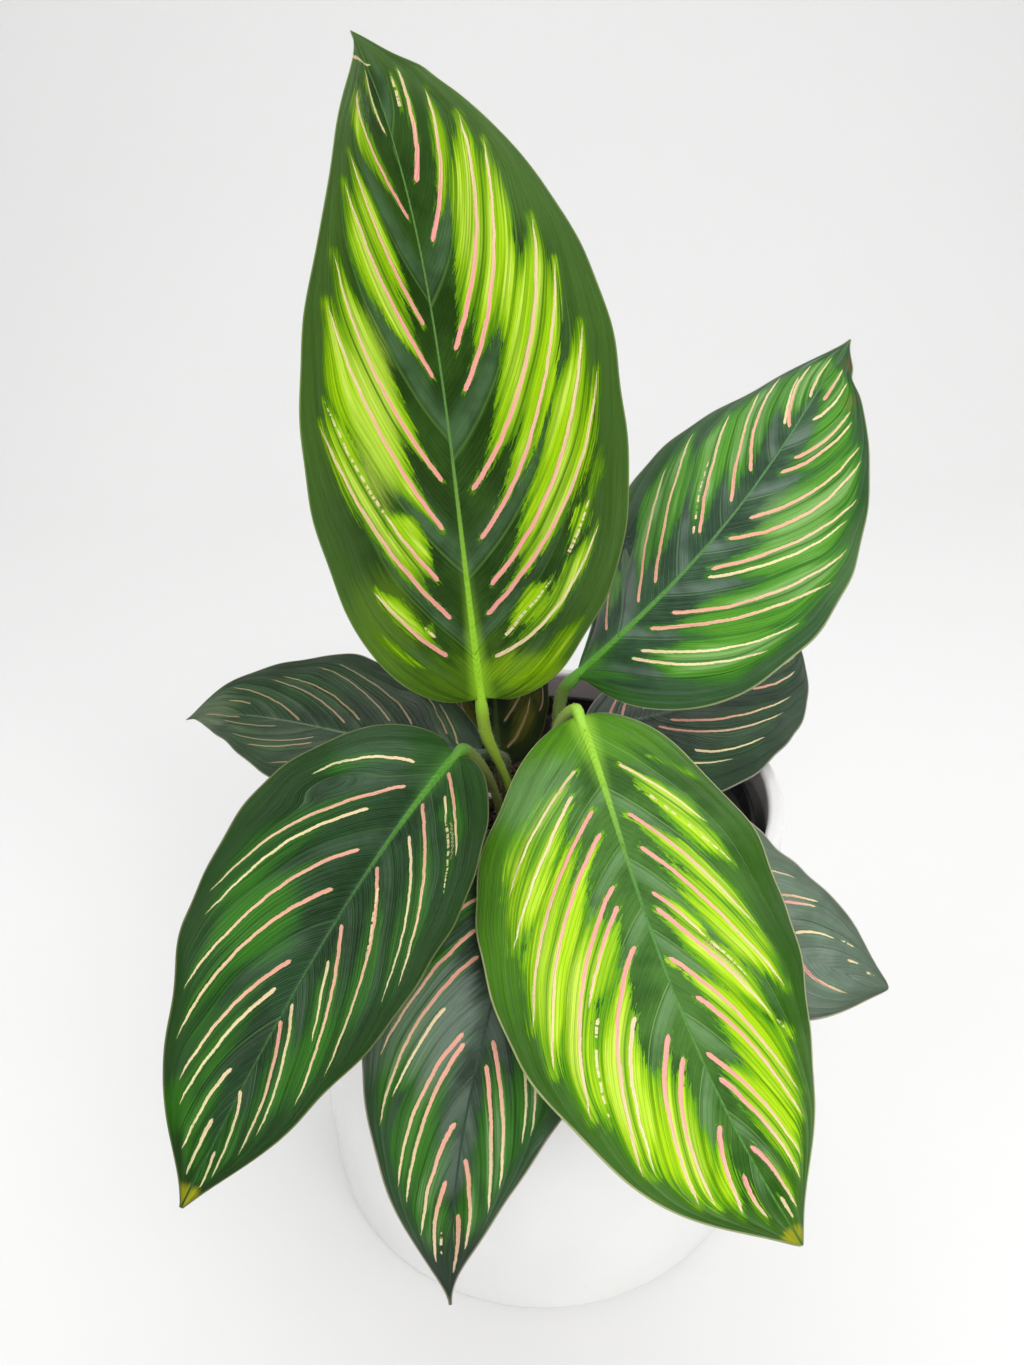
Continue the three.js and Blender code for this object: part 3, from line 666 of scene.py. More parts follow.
def stripes_of(name):
    """Kind, centre line, and reach of the bright green tipward and baseward, of each stripe."""
    length, spread = LEAVES[name]["length"], LOOKS[name]["spread"]
    listed = []
    for kind, stripes in STRIPES[name].items():
        usual = spread * 0.5 if kind == "dashed" else spread
        for stripe in stripes:
            listed.append((kind, stripe_curve(stripe, length), stripe[6:] or (usual, usual)))
    return listed


def painted_stripes(name):
    return [stripe for stripe in stripes_of(name) if stripe[0] != "glow"]


def layered_stripes(name):
    """The painted stripes in two lists, each stripe in the one that holds nothing close to it."""
    layers = [[], []]
    for stripe in painted_stripes(name):
        room = []
        for layer in layers:
            gaps = [np.linalg.norm(stripe[1][:, None] - other[1], axis=-1).min() for other in layer]
            room.append(min(gaps, default=99.0))
        layers[int(room[1] > room[0])].append(stripe)
    return layers


def side_of(curve):
    return int(curve[:, 0].mean() > 0)


def vein_start(reach, share):
    """Where the lateral vein through a place leaves the midrib, as a share of the length."""
    pace = 0.19 + 0.1 * smoothstep(0.05, 0.5, share)
    return share + pace * np.log(1 - 0.93 * np.clip(reach, 0, 1))


def vein_places(name, across, along):
    """The same for a grid of points, in millimetres, bent so that the veins follow the stripes."""
    leaf = LEAVES[name]
    shift = np.zeros_like(along)
    weight = np.full_like(along, 0.15)
    for _, curve, _ in painted_stripes(name):
        side = side_of(curve)
        same = across >= 0 if side else across < 0
        share = curve[:, 1] / leaf["length"]
        reach = np.abs(curve[:, 0]) / half_width(leaf, side, share)
        starts = vein_start(reach, share)
        for k in range(0, len(share), 4):
            distance = ((np.abs(across) - reach[k]) * 0.5) ** 2 + (along - share[k]) ** 2
            near = np.exp(-distance / (2 * 0.045**2)) * same
            shift += near * (starts[0] - starts[k])
            weight += near
    return (vein_start(np.abs(across), along) + shift / weight) * leaf["length"]


def vein_phase(name, across, veins):
    """Counts the main lateral veins: whole on one of them, and a half in the middle between two."""
    evenly = tuple(0.06 + 0.14 * k for k in range(7))
    phase = np.empty_like(veins)
    for side, same in enumerate((across < 0, across >= 0)):
        marks = np.array(MAIN_VEINS.get(name, (evenly, evenly))[side]) * LEAVES[name]["length"]
        first, last = np.diff(marks)[[0, -1]]
        counts = np.concatenate([[-9], np.arange(len(marks)), [len(marks) + 8]])
        marks = np.concatenate([[marks[0] - 9 * first], marks, [marks[-1] + 9 * last]])
        phase[same] = np.interp(veins[same], marks, counts)
    return phase


def close_to(curve, flat, distance):
    low, high = curve.min(0) - distance, curve.max(0) + distance
    return np.nonzero(((flat > low) & (flat < high)).all(1))[0]


def place_by(curve, flat):
    """Sideways distance from a centre line that runs straight on past its ends, above 0 on the side
    of the leaf's tip; the distance from the line itself; the run along it; and its whole length."""
    start, step = curve[:-1], np.diff(curve, axis=0)
    length = np.linalg.norm(step, axis=1)
    share = ((flat[:, None, :] - start) * step).sum(-1) / length**2
    offset = flat[:, None, :] - (start + np.clip(share, 0, 1)[..., None] * step)
    distance = np.linalg.norm(offset, axis=-1)
    best = distance.argmin(1)
    rows = np.arange(len(flat))
    turn = (step[best, 0] * offset[rows, best, 1] - step[best, 1] * offset[rows, best, 0]) / length[best]
    low = np.where(best == 0, -9, 0)
    high = np.where(best == len(step) - 1, 9, 1)
    passed = np.concatenate([[0], np.cumsum(length)])[best]
    run = passed + np.clip(share[rows, best], low, high) * length[best]
    return turn * (1 if side_of(curve) else -1), distance[rows, best], run, length.sum()


def stripe_glow(name, flat):
    """How deep each point lies in the bright green round the stripes, in millimetres."""
    glow = np.full(len(flat), -20.0)
    for _, curve, (tipward, baseward) in stripes_of(name):
        inside = close_to(curve, flat, 14)
        signed, near, run, whole = place_by(curve, flat[inside])
        t = run / whole
        reach = baseward + (tipward - baseward) * smoothstep(-0.7, 0.7, signed)
        reach *= 0.12 + 0.88 * smoothstep(0.03, 0.42, t) + 0.3 * smoothstep(0.35, 0.65, t)
        reach *= 1 - 0.75 * smoothstep(0.7, 1, t)
        glow[inside] = np.maximum(glow[inside], reach - near)
    return glow


def stripe_layer(name, flat, layer):
    """One layer of stripes: (sideways distance, distance, half width) and (tone, dashed, run) of the
    one nearest to each point."""
    half = LOOKS[name]["stripe_half"]
    shape = np.tile((20.0, 20.0, 0.0), (len(flat), 1))
    tint = np.zeros((len(flat), 3))
    for order, (kind, curve, _) in enumerate(layered_stripes(name)[layer]):
        inside = close_to(curve, flat, 5)
        signed, near, run, whole = place_by(curve, flat[inside])
        t = run / whole
        tone, dashed, breadth = STRIPE_KINDS[kind]
        width = half * (1.22 - 0.66 * np.clip(t, 0, 1)) * breadth
        width *= np.clip(run / 0.8, 0, 1) ** 0.5 * np.clip((whole - run) / (0.1 * whole), 0, 1) ** 0.6
        width -= 2 * np.maximum(0, np.maximum(-run, run - whole))
        tone = np.clip(tone + 0.85 * smoothstep(0.15, 1, t), 0, 1)
        closer = near < shape[inside, 1]
        chosen = inside[closer]
        shape[chosen] = np.stack([signed, near, width], -1)[closer]
        shifted = run + 31.7 * (2 * order + layer)
        tint[chosen] = np.stack([tone, np.full_like(run, dashed), shifted], -1)[closer]
    return shape, tint


# Meshes

def new_object(name, points, faces, *materials):
    """An object from points in metres and faces of any size."""
    mesh = bpy.data.meshes.new(name)
    mesh.from_pydata(np.asarray(points).tolist(), [], [list(map(int, face)) for face in faces])
    mesh.update()
    mesh.shade_smooth()
    for material in materials:
        mesh.materials.append(material)
    obj = bpy.data.objects.new(name, mesh)
    bpy.context.scene.collection.objects.link(obj)
    return obj


def use_second_material(obj, start, stop=None):
    """Gives a run of faces the second material."""
    index = np.zeros(len(obj.data.polygons), np.int32)
    index[start:stop] = 1
    obj.data.polygons.foreach_set("material_index", index)


def add_values(obj, name, values):
    values = np.asarray(values, np.float32)
    kind = "FLOAT" if values.ndim == 1 else "FLOAT_VECTOR"
    layer = obj.data.attributes.new(name, kind, "POINT")
    layer.data.foreach_set("value" if values.ndim == 1 else "vector", values.ravel())


def ring_faces(rows, sides):
    """Quads between rings of points that close round on themselves."""
    row, column = np.meshgrid(np.arange(rows - 1), np.arange(sides), indexing="ij")
    a = row * sides + column
    b = row * sides + (column + 1) % sides
    return np.stack([a, b, b + sides, a + sides], -1).reshape(-1, 4)


def closed_faces(rows, sides):
    """The same, and triangles to two points after the rings: the first ring's middle and the last's."""
    first = rows * sides
    ring = np.arange(sides)
    after = np.roll(ring, -1)
    top = first - sides
    foot = np.stack([np.full(sides, first), after, ring], -1)
    crown = np.stack([np.full(sides, first + 1), top + ring, top + after], -1)
    return [*ring_faces(rows, sides), *foot, *crown]


def blade_faces(rows, columns):
    """Faces of a blade's upper side, of its lower side, and of the thin margin between them."""
    row, column = np.meshgrid(np.arange(rows - 1), np.arange(columns - 1), indexing="ij")
    a = row * columns + column
    upper = np.stack([a, a + 1, a + 1 + columns, a + columns], -1).reshape(-1, 4)
    ring = np.concatenate([
        np.arange(columns - 1),
        np.arange(rows - 1) * columns + columns - 1,
        (rows - 1) * columns + np.arange(columns - 1, 0, -1),
        np.arange(rows - 1, 0, -1) * columns,
    ])
    after = np.roll(ring, -1)
    total = rows * columns
    return upper, (upper + total)[:, ::-1], np.stack([ring, ring + total, after + total, after], -1)


def midrib_half(along):
    """Half width of the midrib: broad at the neck, a fine line towards the tip."""
    return MIDRIB_HALF_WIDTH + MIDRIB_BROADENING * (1 - along) ** 4


def blade_relief(look, number, across, along, side, edge, phase):
    """How far the upper and lower sides stand out of the middle layer: a midrib, swollen panels
    between the main veins, and a rippled and thin margin."""
    rib_half = midrib_half(along)
    rib = 0.5 * rib_half * np.exp(-((side / rib_half) ** 2)) - 0.3 * np.exp(-((side / 2.4) ** 2))
    fade = smoothstep(1, 7, np.abs(side)) * smoothstep(0, 6, edge)
    panel = look["quilt"] * (np.abs(np.sin(math.pi * phase)) ** 0.8 - 0.6) * fade
    ripple = 0.3 * np.sin(31 * along + 4 * across + number) * np.abs(across) ** 5
    ripple = ripple * smoothstep(0.03, 0.2, along)
    thin = MARGIN_HALF_THICKNESS + INNER_THICKENING * smoothstep(0, 2, edge)
    keel = (1.2 - 1.0 * along) * np.exp(-((side / (1.5 - 0.8 * along)) ** 2))
    return thin + rib + panel + ripple, -thin - keel + panel + ripple


def build_blade(name, number):
    leaf, look = LEAVES[name], LOOKS[name]
    share = np.linspace(0, 1, look["rows"])
    share = share - 0.035 * np.sin(2 * math.pi * share)
    line = np.linspace(-1, 1, look["columns"] + 1 - look["columns"] % 2)
    along, across = np.meshgrid(share, line, indexing="ij")
    points, up = blade_points(leaf, across, along)
    width = blade_width(leaf, across, along)
    side = across * width
    edge = (1 - np.abs(across)) * width
    veins = vein_places(name, across, along)
    phase = vein_phase(name, across, veins)
    reliefs = blade_relief(look, number, across, along, side, edge, phase)
    vertices = np.concatenate([(points + up * relief[..., None]).reshape(-1, 3) for relief in reliefs])
    faces = blade_faces(*along.shape)
    materials = blade_material(name, number), underside_material()
    blade = new_object(f"{name}_fine_blade", vertices * MM, np.concatenate(faces), *materials)
    use_second_material(blade, len(faces[0]), 2 * len(faces[0]))

    flat = np.stack([side.ravel(), (along * leaf["length"]).ravel()], -1)
    layers = {
        "place": np.stack([side.ravel(), veins.ravel(), along.ravel()], -1),
        "form": np.stack([phase.ravel(), stripe_glow(name, flat), edge.ravel()], -1),
    }
    for layer in (0, 1):
        layers[f"stripe_{layer}"], layers[f"tint_{layer}"] = stripe_layer(name, flat, layer)
    for label, values in layers.items():
        add_values(blade, label, np.concatenate([values, values]))
    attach(blade, "root")
    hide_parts(f"{name}_blade")


# Materials

def linear(colour, scale=1.0):
    """A colour written as 0 to 255 on screen, as the light it stands for."""
    def channel(value):
        value /= 255
        return value / 12.92 if value <= 0.04045 else ((value + 0.055) / 1.055) ** 2.4

    return tuple(channel(value) * scale for value in colour) + (1.0,)


class Value:
    """What a node gives out. Each sum or product of it adds a Math node to the same material."""

    def __init__(self, graph, socket):
        self.graph, self.socket = graph, socket

    def __add__(self, other):
        return self.graph.math("ADD", self, other)

    def __radd__(self, other):
        return self.graph.math("ADD", other, self)

    def __sub__(self, other):
        return self.graph.math("SUBTRACT", self, other)

    def __rsub__(self, other):
        return self.graph.math("SUBTRACT", other, self)

    def __mul__(self, other):
        return self.graph.math("MULTIPLY", self, other)

    __rmul__ = __mul__

    def __truediv__(self, other):
        return self.graph.math("DIVIDE", self, other)

    def __pow__(self, other):
        return self.graph.math("POWER", self, other)

    def __abs__(self):
        return self.graph.math("ABSOLUTE", self)


def swing(noise, size):
    """Noise made to vary evenly round zero."""
    return (noise - 0.5) * size


class Graph:
    """A material and short calls that add nodes to it. A plain colour is written as 0 to 255."""

    def __init__(self, name):
        self.material = bpy.data.materials.new(name)
        self.material.use_nodes = True
        self.tree = self.material.node_tree
        self.shader = self.tree.nodes["Principled BSDF"]

    def put(self, value, socket):
        if isinstance(value, Value):
            self.tree.links.new(value.socket, socket)
        elif isinstance(value, tuple) and len(value) == 3:
            socket.default_value = linear(value)
        else:
            socket.default_value = value

    def set(self, **values):
        for name, value in values.items():
            self.put(value, self.shader.inputs[name.replace("_", " ")])

    def node(self, kind, entries, output=0, **settings):
        """Adds a node, fills its inputs by number or name, and gives one of its outputs."""
        node = self.tree.nodes.new("ShaderNode" + kind)
        for name, setting in settings.items():
            setattr(node, name, setting)
        for key, entry in entries.items():
            self.put(entry, node.inputs[key])
        return Value(self, node.outputs[output])

    def math(self, operation, *values):
        return self.node("Math", dict(enumerate(values)), operation=operation)

    def mix(self, share, a, b):
        return self.node("Mix", {0: share, 6: a, 7: b}, 2, data_type="RGBA")

    def step(self, value, low, high, start=0.0, end=1.0):
        entries = dict(enumerate((value, low, high, start, end)))
        return self.node("MapRange", entries, interpolation_type="SMOOTHSTEP")

    def value(self, name):
        return self.node("Attribute", {}, "Fac", attribute_name=name)

    def values(self, name):
        return self.split(self.node("Attribute", {}, "Vector", attribute_name=name))

    def split(self, vector):
        parts = self.node("SeparateXYZ", {0: vector}).socket.node.outputs
        return [Value(self, part) for part in parts]

    def join(self, x, y, z):
        return self.node("CombineXYZ", {0: x, 1: y, 2: z})

    def object_place(self):
        return self.node("TexCoord", {}, "Object")

    def noise(self, vector, scale, detail=3.0, rough=0.55):
        entries = {"Vector": vector, "Scale": scale, "Detail": detail, "Roughness": rough}
        return self.node("TexNoise", entries, "Fac")

    def bump(self, height, distance, strength=1.0):
        entries = {"Strength": strength, "Distance": distance, "Height": height}
        self.set(Normal=self.node("Bump", entries))


class BladeFace(Graph):
    """The upper face of a blade. Its noises are stretched along the lateral veins."""

    def __init__(self, name, number):
        super().__init__(f"{name}_face")
        self.leaf_name, self.look, self.seed = name, LOOKS[name], 7.3 * number
        self.side, self.vein, self.along = self.values("place")
        self.phase, self.glow, self.edge = self.values("form")
        self.wander = self.streaks(0.06, 0.16, 0, 2)
        self.band = self.streaks(0.05, 0.42, 60, 2)
        self.ribbon = self.streaks(0.03, 0.3, 80, 2)
        self.shred = self.streaks(0.26, 1.0, 20, 3, 0.6)
        self.grain = self.streaks(0.6, 1.3, 40, 3, 0.8)
        self.mottle = self.noise(self.join(self.side * 0.06, self.along * 9.0, self.seed), 1.0, 3, 0.6)
        inside = self.step(self.edge, 0.5, 7)
        self.main_veins = self.lines(self.phase, 1.0, 0.006, 0.03) * inside
        self.between_veins = self.lines(self.phase + 0.5, 1.0, 0.006, 0.028) * inside
        self.minor_veins = self.lines(self.vein, 1.9, 0.0, 0.24) * inside
        self.thin_veins = self.lines(self.vein, 0.63, 0.0, 0.2)

    def streaks(self, across, down, shift, detail, rough=0.55):
        """Noise with its size across and along the leaf in turns a millimetre."""
        place = self.join(self.side * across, self.vein * down, self.seed + shift)
        return self.noise(place, 1.0, detail, rough)

    def lines(self, value, period, low, high):
        """Lines where a value is a whole number of periods."""
        place = self.math("PINGPONG", value + 60.0 * period, period / 2)
        return self.step(place, low, high, 1.0, 0.0)

    def dark_green(self):
        """Two dark greens, another towards the margin, bloom and painted sheen past each main vein, a heel.
        """
        look, step = self.look, self.step
        colour = self.mix(step(self.mottle, 0.38, 0.62), *look["dark"])
        rim = step(self.edge + swing(self.wander, 9.0), 1.0, look["rim_reach"], look["rim_share"], 0.0)
        colour = self.mix(rim, colour, look["rim"])
        colour = self.mix(step(self.shred, 0.42, 0.72, 0, 0.3), colour, linear(look["dark"][0], 0.6))
        # Painted sheen: a greyer, lighter green just tipward of each main vein, where the quilted panels
        # catch the overhead light.
        beyond = self.math("FRACT", self.phase + 60.0)
        bloom_and_sheen = step(beyond, 0.0, 0.08) * step(beyond, 0.09, 0.4, 1.0, 0.0)
        bloom_and_sheen *= step(abs(self.side), 8, 30, look["sheen_share"], look["sheen_share"] * 0.25)
        bloom_and_sheen *= step(self.mottle, 0.3, 0.6, 0.3, 1.0)
        colour = self.mix(bloom_and_sheen, colour, look["bloom_and_sheen"])
        heel = self.along + swing(self.wander, 0.2)
        heel = step(heel, look["heel_reach"] * 0.4, look["heel_reach"] * 1.3, 0.85, 0.0)
        return self.mix(heel, colour, look["heel"])

    def bright_green(self):
        """How far the bright green covers, torn at its edge, and its colour: a deeper fringe and
        bands, painted soft shade midway between two main veins, and paler parts."""
        look, step = self.look, self.step
        depth = self.glow + swing(self.wander, 3.2) + swing(self.shred, 3.4)
        full = depth + swing(self.band, 6.5) + swing(self.grain, 1.6)
        depth += swing(self.grain, 6.0)
        torn = step(depth, -look["soft"], look["soft"], 0, look["cover"]) * step(self.edge, 1.2, 4.5)
        colour = self.mix(step(full, -0.4, 2.6), look["edge_green"], look["bright"][0])
        pale = step(full, 1.6, 3.6) * step(self.wander, 0.45, 0.6)
        colour = self.mix(pale, colour, look["bright"][1])
        ribbons = step(self.ribbon, 0.5, 0.62, 0.0, 0.45)
        # Painted soft shade: a deeper green band midway between two main veins.
        midway_shade = step(self.math("PINGPONG", self.phase + 60.5, 0.5), 0.02, 0.13, 0.5, 0.0)
        return torn, self.mix(self.math("MAXIMUM", ribbons, midway_shade), colour, look["edge_green"])

    def with_patches(self, colour):
        look = self.look
        tints = {
            "fresh": look["bright"][0], "pale": look["bright"][1], "deep": look["dark"][0],
            "bloom_and_sheen": look["bloom_and_sheen"], "rim": look["rim"], "heel": look["heel"], "dry": DRY, "yellow": YELLOW,
        }
        # Some of these patches are painted sheen, painted light or painted shade, not the leaf's own colour.
        for across, place, wide, long, kind, most in PATCHES.get(self.leaf_name, ()):
            x = (self.side - across) / wide
            y = (self.along - place) / long
            far = x * x + y * y + swing(self.wander, 1.4) + swing(self.shred, 1.6)
            colour = self.mix(self.step(far, 0.0, 1.3, most, 0.0), colour, tints[kind])
        return colour

    def with_veins(self, colour, torn):
        """Veins are lighter than the dark green and darker than the bright green."""
        vein_green = self.mix(torn, self.look["vein"], linear(self.look["edge_green"], 0.85))
        dark_line = linear(self.look["edge_green"], 0.6)
        colour = self.mix(self.main_veins * 0.5, colour, vein_green)
        colour = self.mix(self.between_veins * torn * 0.75, colour, dark_line)
        colour = self.mix(self.minor_veins * torn * 0.25, colour, dark_line)
        colour = self.mix(self.minor_veins * 0.07, colour, vein_green)
        return self.mix(self.thin_veins * 0.05, colour, vein_green)

    def with_midrib(self, colour):
        """The midrib, with a soft shoulder of its colour near the neck."""
        share = abs(self.side) / midrib_half(self.along)
        on_rib = self.step(share + swing(self.shred, 0.4), 0.6, 1.3, 1.0, 0.0)
        shoulder = self.step(share, 0.8, 3.4, self.look["shoulder"], 0.0)
        shoulder *= self.step(self.along, 0.0, 0.3, 1.0, 0.0)
        rib = self.mix(self.step(self.along, 0.05, 0.45), *self.look["midrib"])
        return self.mix(self.math("MAXIMUM", on_rib, shoulder), colour, rib)

    def with_margin(self, colour):
        margin = self.step(self.edge + swing(self.shred, 0.3), 0.22, 0.5, 0.9, 0.0)
        return self.mix(margin, colour, self.look["margin"])

    def stripes(self, layer):
        """How far one layer of stripes covers, and its colour: ragged edges, some with dashes."""
        look, step = self.look, self.step
        signed, near, half = self.values(f"stripe_{layer}")
        tone, dashed, run = self.values(f"tint_{layer}")
        ragged = self.noise(self.join(run * 1.1, step(signed, -0.1, 0.1, 0, 9), self.seed), 1.0, 3, 0.7)
        sway = self.noise(self.join(run * 0.16, 3.0, self.seed), 1.0, 2, 0.5)
        inner = half + swing(ragged, 0.5) - abs(signed + swing(sway, 1.0))
        gaps = self.noise(self.join(run * 0.65, 11.0, self.seed), 1.0, 2, 0.5)
        whole = 1.0 - dashed * step(gaps, 0.44, 0.52, 1.0, 0.0)
        cover = step(inner, -0.04, 0.1) * step(near - half, 0.7, 1.0, 1.0, 0.0) * whole
        colour = self.mix(tone, look["stripe"], look["stripe_end"])
        worn = step(self.shred, 0.4, 0.75, 0, 0.2)
        return cover, self.mix(worn, colour, linear(look["stripe"], 0.85))


def blade_material(name, number):
    g = BladeFace(name, number)
    torn, bright = g.bright_green()
    colour = g.with_patches(g.mix(torn, g.dark_green(), bright))
    colour = g.with_margin(g.with_midrib(g.with_veins(colour, torn)))
    painted = 0.0
    for layer in (0, 1):
        cover, paint = g.stripes(layer)
        colour = g.mix(cover * 0.97, colour, paint)
        painted = cover + painted
    rough = g.look["rough"] + g.shred * 0.14
    g.set(Base_Color=colour, Roughness=rough, Specular_IOR_Level=g.look["shine"])
    height = g.thin_veins * -0.25 - g.minor_veins * 0.6 - g.main_veins * 1.4
    g.bump(height + g.band * 3.0 + g.shred * 0.9 + painted * 0.3, 0.00014)
    return g.material


@cache
def underside_material():
    """Wine-purple underside with greener veins and a pale keel."""
    g = Graph("blade_underside")
    side, vein, _ = g.values("place")
    phase = g.values("form")[0]
    streak = g.noise(g.join(side * 0.1, vein * 1.2, 2.0), 1.0, 4, 0.6)
    colour = g.mix(g.step(streak, 0.3, 0.7), (86, 34, 52), (112, 52, 66))
    vein_line = g.step(g.math("PINGPONG", phase + 60.0, 0.5), 0.01, 0.04, 0.45, 0.0)
    colour = g.mix(vein_line, colour, (132, 96, 84))
    keel = g.step(abs(side), 0.7, 1.7, 1.0, 0.0)
    colour = g.mix(keel, colour, (142, 132, 84))
    g.set(Base_Color=colour, Roughness=0.46 + streak * 0.15, Specular_IOR_Level=0.3)
    g.bump(vein_line + streak, 0.00015)
    return g.material


# Stalks

SOIL_TOP = 126
ROOT_DEPTH = 22
SHEATH_RADIUS = 2.1
SHAFT_RADIUS = 1.25
JOINT_RADIUS = 1.9
NECK_RADIUS = 1.55
NECK_LENGTH = 3.3
STALK_OVERLAP = 0.8
STALK_ROWS = 110
KEEL_ROWS = 14
STALK_SIDES = 28
HAIR_COUNT = 260

# Colours of each stalk at its top and at its foot
STALK_COLOURS = {
    "back_leaf": ((150, 182, 60), (96, 110, 56)),
    "right_leaf": ((112, 136, 66), (84, 90, 56)),
    "front_right_leaf": ((168, 192, 104), (110, 128, 66)),
    "front_left_leaf": ((120, 136, 70), (70, 84, 50)),
    "front_leaf": ((86, 110, 60), (78, 70, 50)),
    "trailing_leaf": ((86, 104, 70), (84, 76, 56)),
    "lower_right_leaf": ((92, 96, 66), (90, 74, 62)),
    "left_leaf": ((86, 92, 66), (98, 70, 70)),
    "inner_leaf": ((96, 98, 56), (92, 76, 62)),
}


def stalk_centres(leaf, count):
    """Even points on the curve from the root in the soil into the blade's base."""
    ahead = direction(leaf, np.array(0.0))[1]
    end = np.array(leaf["base"], float) + ahead * STALK_OVERLAP
    (x, y), shaft, bend = leaf["stalk"]
    root = (x, y, SOIL_TOP - ROOT_DEPTH)
    knots = np.array([root, (x, y, SOIL_TOP), shaft, bend, end - NECK_LENGTH * ahead, end], float)
    knots = np.vstack([2 * knots[0] - knots[1], knots, 2 * knots[-1] - knots[-2]])
    dense = []
    for k in range(1, len(knots) - 2):
        p0, p1, p2, p3 = knots[k - 1:k + 3]
        d0, d1, d2 = (np.linalg.norm(b - a) ** 0.5 for a, b in ((p0, p1), (p1, p2), (p2, p3)))
        m1 = d1 * ((p1 - p0) / d0 - (p2 - p0) / (d0 + d1) + (p2 - p1) / d1)
        m2 = d1 * ((p2 - p1) / d1 - (p3 - p1) / (d1 + d2) + (p3 - p2) / d2)
        t = np.linspace(0, 1, 40, endpoint=False)[:, None]
        dense.append(
            p1 * (2 * t**3 - 3 * t**2 + 1) + m1 * (t**3 - 2 * t**2 + t)
            + p2 * (3 * t**2 - 2 * t**3) + m2 * (t**3 - t**2)
        )
    dense = np.vstack([*dense, knots[-2]])
    run = np.concatenate([[0], np.cumsum(np.linalg.norm(np.diff(dense, axis=0), axis=1))])
    even = np.linspace(0, run[-1], count)
    return np.stack([np.interp(even, run, dense[:, k]) for k in range(3)], -1)


def keel_centres(leaf, count):
    """The stalk's last stretch, which sinks into the underside of the blade."""
    share = np.linspace(0.015, 0.1, count)
    up = blade_frame(leaf, share)[2]
    depth = 0.2 + 1.0 * (share / 0.1)
    return midrib_points(leaf, share) - up * depth[:, None]


def stalk_radius(share):
    shaft = SHEATH_RADIUS + (SHAFT_RADIUS - SHEATH_RADIUS) * smoothstep(0.25, 0.55, share)
    swollen = shaft + (JOINT_RADIUS - shaft) * smoothstep(0.64, 0.832, share)
    return swollen + (NECK_RADIUS - swollen) * smoothstep(0.94, 1, share)


def tube_frames(centres):
    """Two unit sideways directions at each point, turning as little as they can."""
    ahead = np.gradient(centres, axis=0)
    ahead /= np.linalg.norm(ahead, axis=1, keepdims=True)
    side = np.zeros_like(centres)
    side[0] = np.cross(ahead[0], (0, 1, 0.1))
    for k in range(1, len(centres)):
        side[k] = side[k - 1] - ahead[k] * (side[k - 1] @ ahead[k])
    side /= np.linalg.norm(side, axis=1, keepdims=True)
    return ahead, side, np.cross(ahead, side)


def tube(centres, frames, radii):
    """Points and faces of a closed tube, with a radius for each row and side."""
    rows, sides = radii.shape
    _, u, v = frames
    angle = np.arange(sides) * 2 * math.pi / sides
    outward = u[:, None] * np.cos(angle)[:, None] + v[:, None] * np.sin(angle)[:, None]
    points = (centres[:, None] + outward * radii[..., None]).reshape(-1, 3)
    return np.vstack([points, centres[0], centres[-1]]), closed_faces(rows, sides)


def stalk_hairs(centres, frames, share, rng):
    """Short hairs on the upper half, each a spike of four points and four faces."""
    ahead, u, v = frames
    hairs = []
    for _ in range(HAIR_COUNT):
        k = rng.integers(50, 104)
        turn = rng.uniform(0, 2 * math.pi)
        out = u[k] * math.cos(turn) + v[k] * math.sin(turn)
        foot = centres[k] + out * (stalk_radius(share[k]) - 0.05)
        tip = foot + (out + ahead[k] * rng.uniform(-0.4, 0.8)) * rng.uniform(0.4, 0.95)
        beside = np.cross(out, ahead[k])
        hairs.append([foot + beside * 0.045, foot - beside * 0.045, foot + ahead[k] * 0.06, tip])
    spike = np.array([(0, 1, 3), (1, 2, 3), (2, 0, 3), (0, 2, 1)])
    faces = [spike + 4 * k for k in range(HAIR_COUNT)]
    return np.reshape(hairs, (-1, 3)), np.vstack(faces)


def build_stalk(name, number):
    leaf = LEAVES[name]
    rng = np.random.default_rng(50 + number)
    share = np.concatenate([np.linspace(0, 1, STALK_ROWS), np.ones(KEEL_ROWS)])
    centres = np.vstack([stalk_centres(leaf, STALK_ROWS), keel_centres(leaf, KEEL_ROWS)])
    angle = np.arange(STALK_SIDES) * 2 * math.pi / STALK_SIDES
    radii = stalk_radius(share)[:, None] * (1 + 0.025 * np.cos(5 * angle + number))
    radii[STALK_ROWS:] *= np.linspace(0.97, 0.45, KEEL_ROWS)[:, None]
    radii[:STALK_ROWS] *= 1 + 0.02 * rng.standard_normal(STALK_ROWS).cumsum()[:, None] / 6
    frames = tube_frames(centres)
    points, faces = tube(centres, frames, radii)
    hair_points, hair_faces = stalk_hairs(centres, frames, share, rng)
    vertices = np.vstack([points, hair_points]) * MM
    materials = stalk_material(name), hair_material()
    stalk = new_object(f"{name}_fine_stalk", vertices, [*faces, *(hair_faces + len(points))], *materials)
    use_second_material(stalk, len(faces))
    climb = np.concatenate([np.repeat(share, STALK_SIDES), [0, 1], np.ones(len(hair_points))])
    add_values(stalk, "climb", climb)
    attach(stalk, "root")
    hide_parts(f"{name}_stalk")


